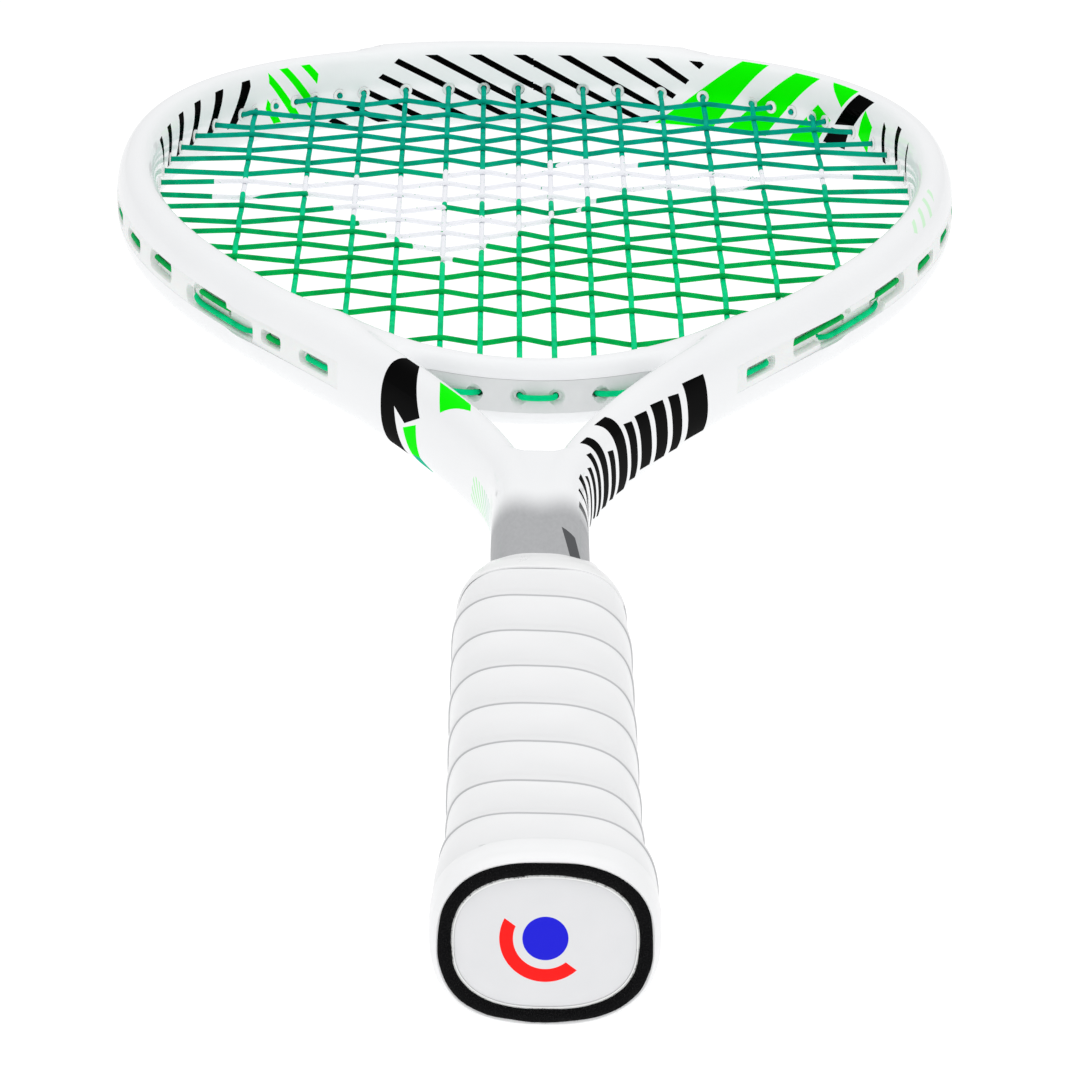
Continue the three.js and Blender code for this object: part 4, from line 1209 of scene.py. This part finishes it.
# Short fibres stand out of the felt's cut face.
fibre_tree, fibre_in, fibre_out = shape_tree("fibres", ["Density", "Length", "Radius"])
fibre_spots = add_node(fibre_tree, "GeometryNodeDistributePointsOnFaces", inputs={
    "Mesh": fibre_in["Shape"], "Density": fibre_in["Density"], "Seed": 5})
fibre_shape = add_node(fibre_tree, "GeometryNodeMeshCone", inputs={
    "Vertices": 4, "Radius Bottom": fibre_in["Radius"], "Radius Top": 0.00002,
    "Depth": fibre_in["Length"]})
fibre_spin = add_node(fibre_tree, "FunctionNodeRandomValue", {"data_type": "FLOAT_VECTOR"}, {
    0: (-0.6, -0.6, 0), 1: (0.6, 0.6, 6.28), "Seed": 11})
fibre_turn = add_node(fibre_tree, "FunctionNodeRotateRotation", {"rotation_space": "LOCAL"}, {
    0: fibre_spots.outputs["Rotation"], 1: fibre_spin.outputs[0]})
fibre_set = add_node(fibre_tree, "GeometryNodeInstanceOnPoints", inputs={
    "Points": fibre_spots.outputs["Points"], "Instance": fibre_shape.outputs[0],
    "Rotation": fibre_turn.outputs[0]})
end_tree(fibre_tree, fibre_in, fibre_out, fibre_set.outputs[0])
bed_points, bed_faces = skin(np.array([
    felt_ring(y, out) for y, out in ((0.6, 0.12), (0.42, 0.45), (0.6, 0.78))]), "open")
fibres = mesh_object(
    "felt_fibres", (bed_points, [[a, d, c, b] for a, b, c, d in bed_faces]))
grow(fibres, fibre_tree, felt.material, Density=2.2e7, Length=0.4 * MM, Radius=0.04 * MM)
finished(smooth_shade(backing, 60), felt.material, "grip_felt", "grip_backing")
finished(fibres, felt.material, "grip_felt")

# ---- finishing tape ----
# A stretchy white band over the top end of the grip, which seals it to the shaft.
COLLAR_LOW_Y = 188
COLLAR_TOP_Y = 221
COLLAR_DIP = 15.5
COLLAR_THICK = 0.55
collar_y = np.concatenate([
    np.array([0, 0.1, 0.5]) + COLLAR_LOW_Y, np.linspace(189.8, 219.5, 24),
    [220.6, COLLAR_TOP_Y, COLLAR_TOP_Y + 0.15]])
collar_rise = np.concatenate([[0.0, 0.3, 0.42], np.full(24, 0.45), [0.38, 0.05, -1.5]])
collar_share = np.clip((collar_y - COLLAR_LOW_Y) / (COLLAR_TOP_Y - COLLAR_LOW_Y), 0, 1)[:, None]
collar_wave = 0.08 * np.sin(angle * 4 + collar_y[:, None] * 0.4) * collar_share
collar_points = handle_rings(collar_y, collar_rise[:, None] + collar_wave)
# The band hugs the flatter top and bottom of the shaft lower down than its sides.
corner = (np.abs(np.sin(2 * angle)) ** 2 * 0.085)[None, :] * collar_share ** 2
collar_points[..., 0] *= 1 - corner
collar_points[..., 2] *= 1 - corner - 0.04 * collar_share ** 2
collar_points[..., 1] -= COLLAR_DIP * np.abs(np.sin(angle)) ** 1.5 * collar_share
collar_points[..., 1] -= 1.6 * np.cos(angle) * (1 - collar_share)
collar = thick_sheet(mesh_object("collar_band", skin(collar_points, "open")), COLLAR_THICK)
band_finish = grained("stretch_band", [(228, 229, 230), (236, 236, 236)], (0.26, 0.36), 0.12,
                      [(5, 3)], stretch=(1, 0.5, 1), Specular_IOR_Level=0.3, Coat_Weight=0.15,
                      Coat_Roughness=0.2)
finished(smooth_shade(collar, 50), band_finish.material, "collar_tape", "finishing_tape")

# ---- butt badge ----
# A resin-domed sticker in the end of the cap, with a plain round emblem under the resin.
BADGE_WIDE = 16.62
BADGE_HIGH = 12.37
badge = solid("badge_dome", skin(np.array([
    flat_ring(depth, BADGE_WIDE * share, BADGE_HIGH * share, sides=72)
    for depth, share in [(1.2, 1.0)] + [
        (0.05 + 0.62 * share ** 10, share)
        for share in (1.0, 0.985, 0.955, 0.9, 0.8, 0.65, 0.45, 0.25, 0.08)]])))
resin = Finish("domed_badge", Coat_Weight=0.4, Coat_Roughness=0.02, Roughness=0.12,
               Specular_IOR_Level=0.0)
where, x, y, z = resin.place()
tone = resin.mix(resin.noise(where, 6, 2), colour(218, 219, 221), colour(224, 224, 226))
reach = x * x + (z - 1) * (z - 1)
swing = reach.between(5.9 ** 2, 8.4 ** 2) * (z * 0.8 + x * 0.6 < -0.6)
tone = resin.mix(reach < 4.2 ** 2, tone, colour(22, 22, 212))
tone = resin.mix(swing, tone, colour(250, 14, 8))
resin.set("Base Color", tone)
resin.set("Normal", resin.bump(resin.noise(where, 8, 1), 0.02))
finished(smooth_shade(badge, 40), resin.material, "badge", "butt_badge")

# ---- floor, light and camera ----
# A pale floor well below the racket, a bright even studio, and the camera behind the butt.
FLOOR_Z = -260
STUDIO_LIGHT = 0.74
floor = mesh_object("floor", ([(-6000, -4000, FLOOR_Z), (6000, -4000, FLOOR_Z),
                               (6000, 9000, FLOOR_Z), (-6000, 9000, FLOOR_Z)], [[0, 1, 2, 3]]))
paper = Finish("pale_paper", Roughness=0.9, Specular_IOR_Level=0.1, Emission_Strength=0.2,
               Emission_Color=(1, 1, 1, 1))
paper.set("Base Color", paper.mix(
    paper.noise(paper.place()[0], 60, 2), colour(250, 250, 250), colour(253, 253, 253)))
floor.data.materials.append(paper.material)

world = bpy.data.worlds.new("studio")
world.use_nodes = True
background = world.node_tree.nodes["Background"]
background.inputs["Color"].default_value = (1, 1, 1, 1)
background.inputs["Strength"].default_value = STUDIO_LIGHT
bpy.context.scene.world = world
bpy.context.scene.view_settings.view_transform = "Standard"


def softbox(name, place, target, size, power):
    """A soft light: its place and target in millimetres, its size in metres, its power in
    watts."""
    lamp = bpy.data.lights.new(name, "AREA")
    lamp.shape = "RECTANGLE"
    lamp.size, lamp.size_y = size
    lamp.energy = power
    way = (Vector(target) - Vector(place)).normalized()
    placed(name, lamp).matrix_world = Matrix.Translation(Vector(place) * MM) @ way.to_track_quat(
        "-Z", "Y").to_matrix().to_4x4()


softbox("overhead", (0, 450, 1500), (0, 350, 0), (2.2, 2.2), 12)
softbox("front_left", (-1100, -900, 500), (0, 150, 0), (0.9, 1.2), 3)
softbox("front_right", (1200, -700, 600), (0, 150, 0), (0.9, 1.2), 3)

CAMERA_PLACE = (-11.9, -1244.9, 453.7)
PITCH_DOWN = math.radians(16.85)
YAW = math.radians(0.458)
ROLL = math.radians(0.76)
ahead = Vector((math.sin(YAW) * math.cos(PITCH_DOWN), math.cos(YAW) * math.cos(PITCH_DOWN),
                -math.sin(PITCH_DOWN)))
level = Vector((math.cos(YAW), -math.sin(YAW), 0))
upright = level.cross(ahead)
side_way = level * math.cos(ROLL) + upright * math.sin(ROLL)
up_way = upright * math.cos(ROLL) - level * math.sin(ROLL)
lens = bpy.data.cameras.new("camera")
lens.sensor_width = 36
lens.lens = 242.7
lens.clip_end = 50
camera = placed("camera", lens)
camera.matrix_world = Matrix.Translation(Vector(CAMERA_PLACE) * MM) @ Matrix(
    (side_way, up_way, -ahead)).transposed().to_4x4()
bpy.context.scene.camera = camera
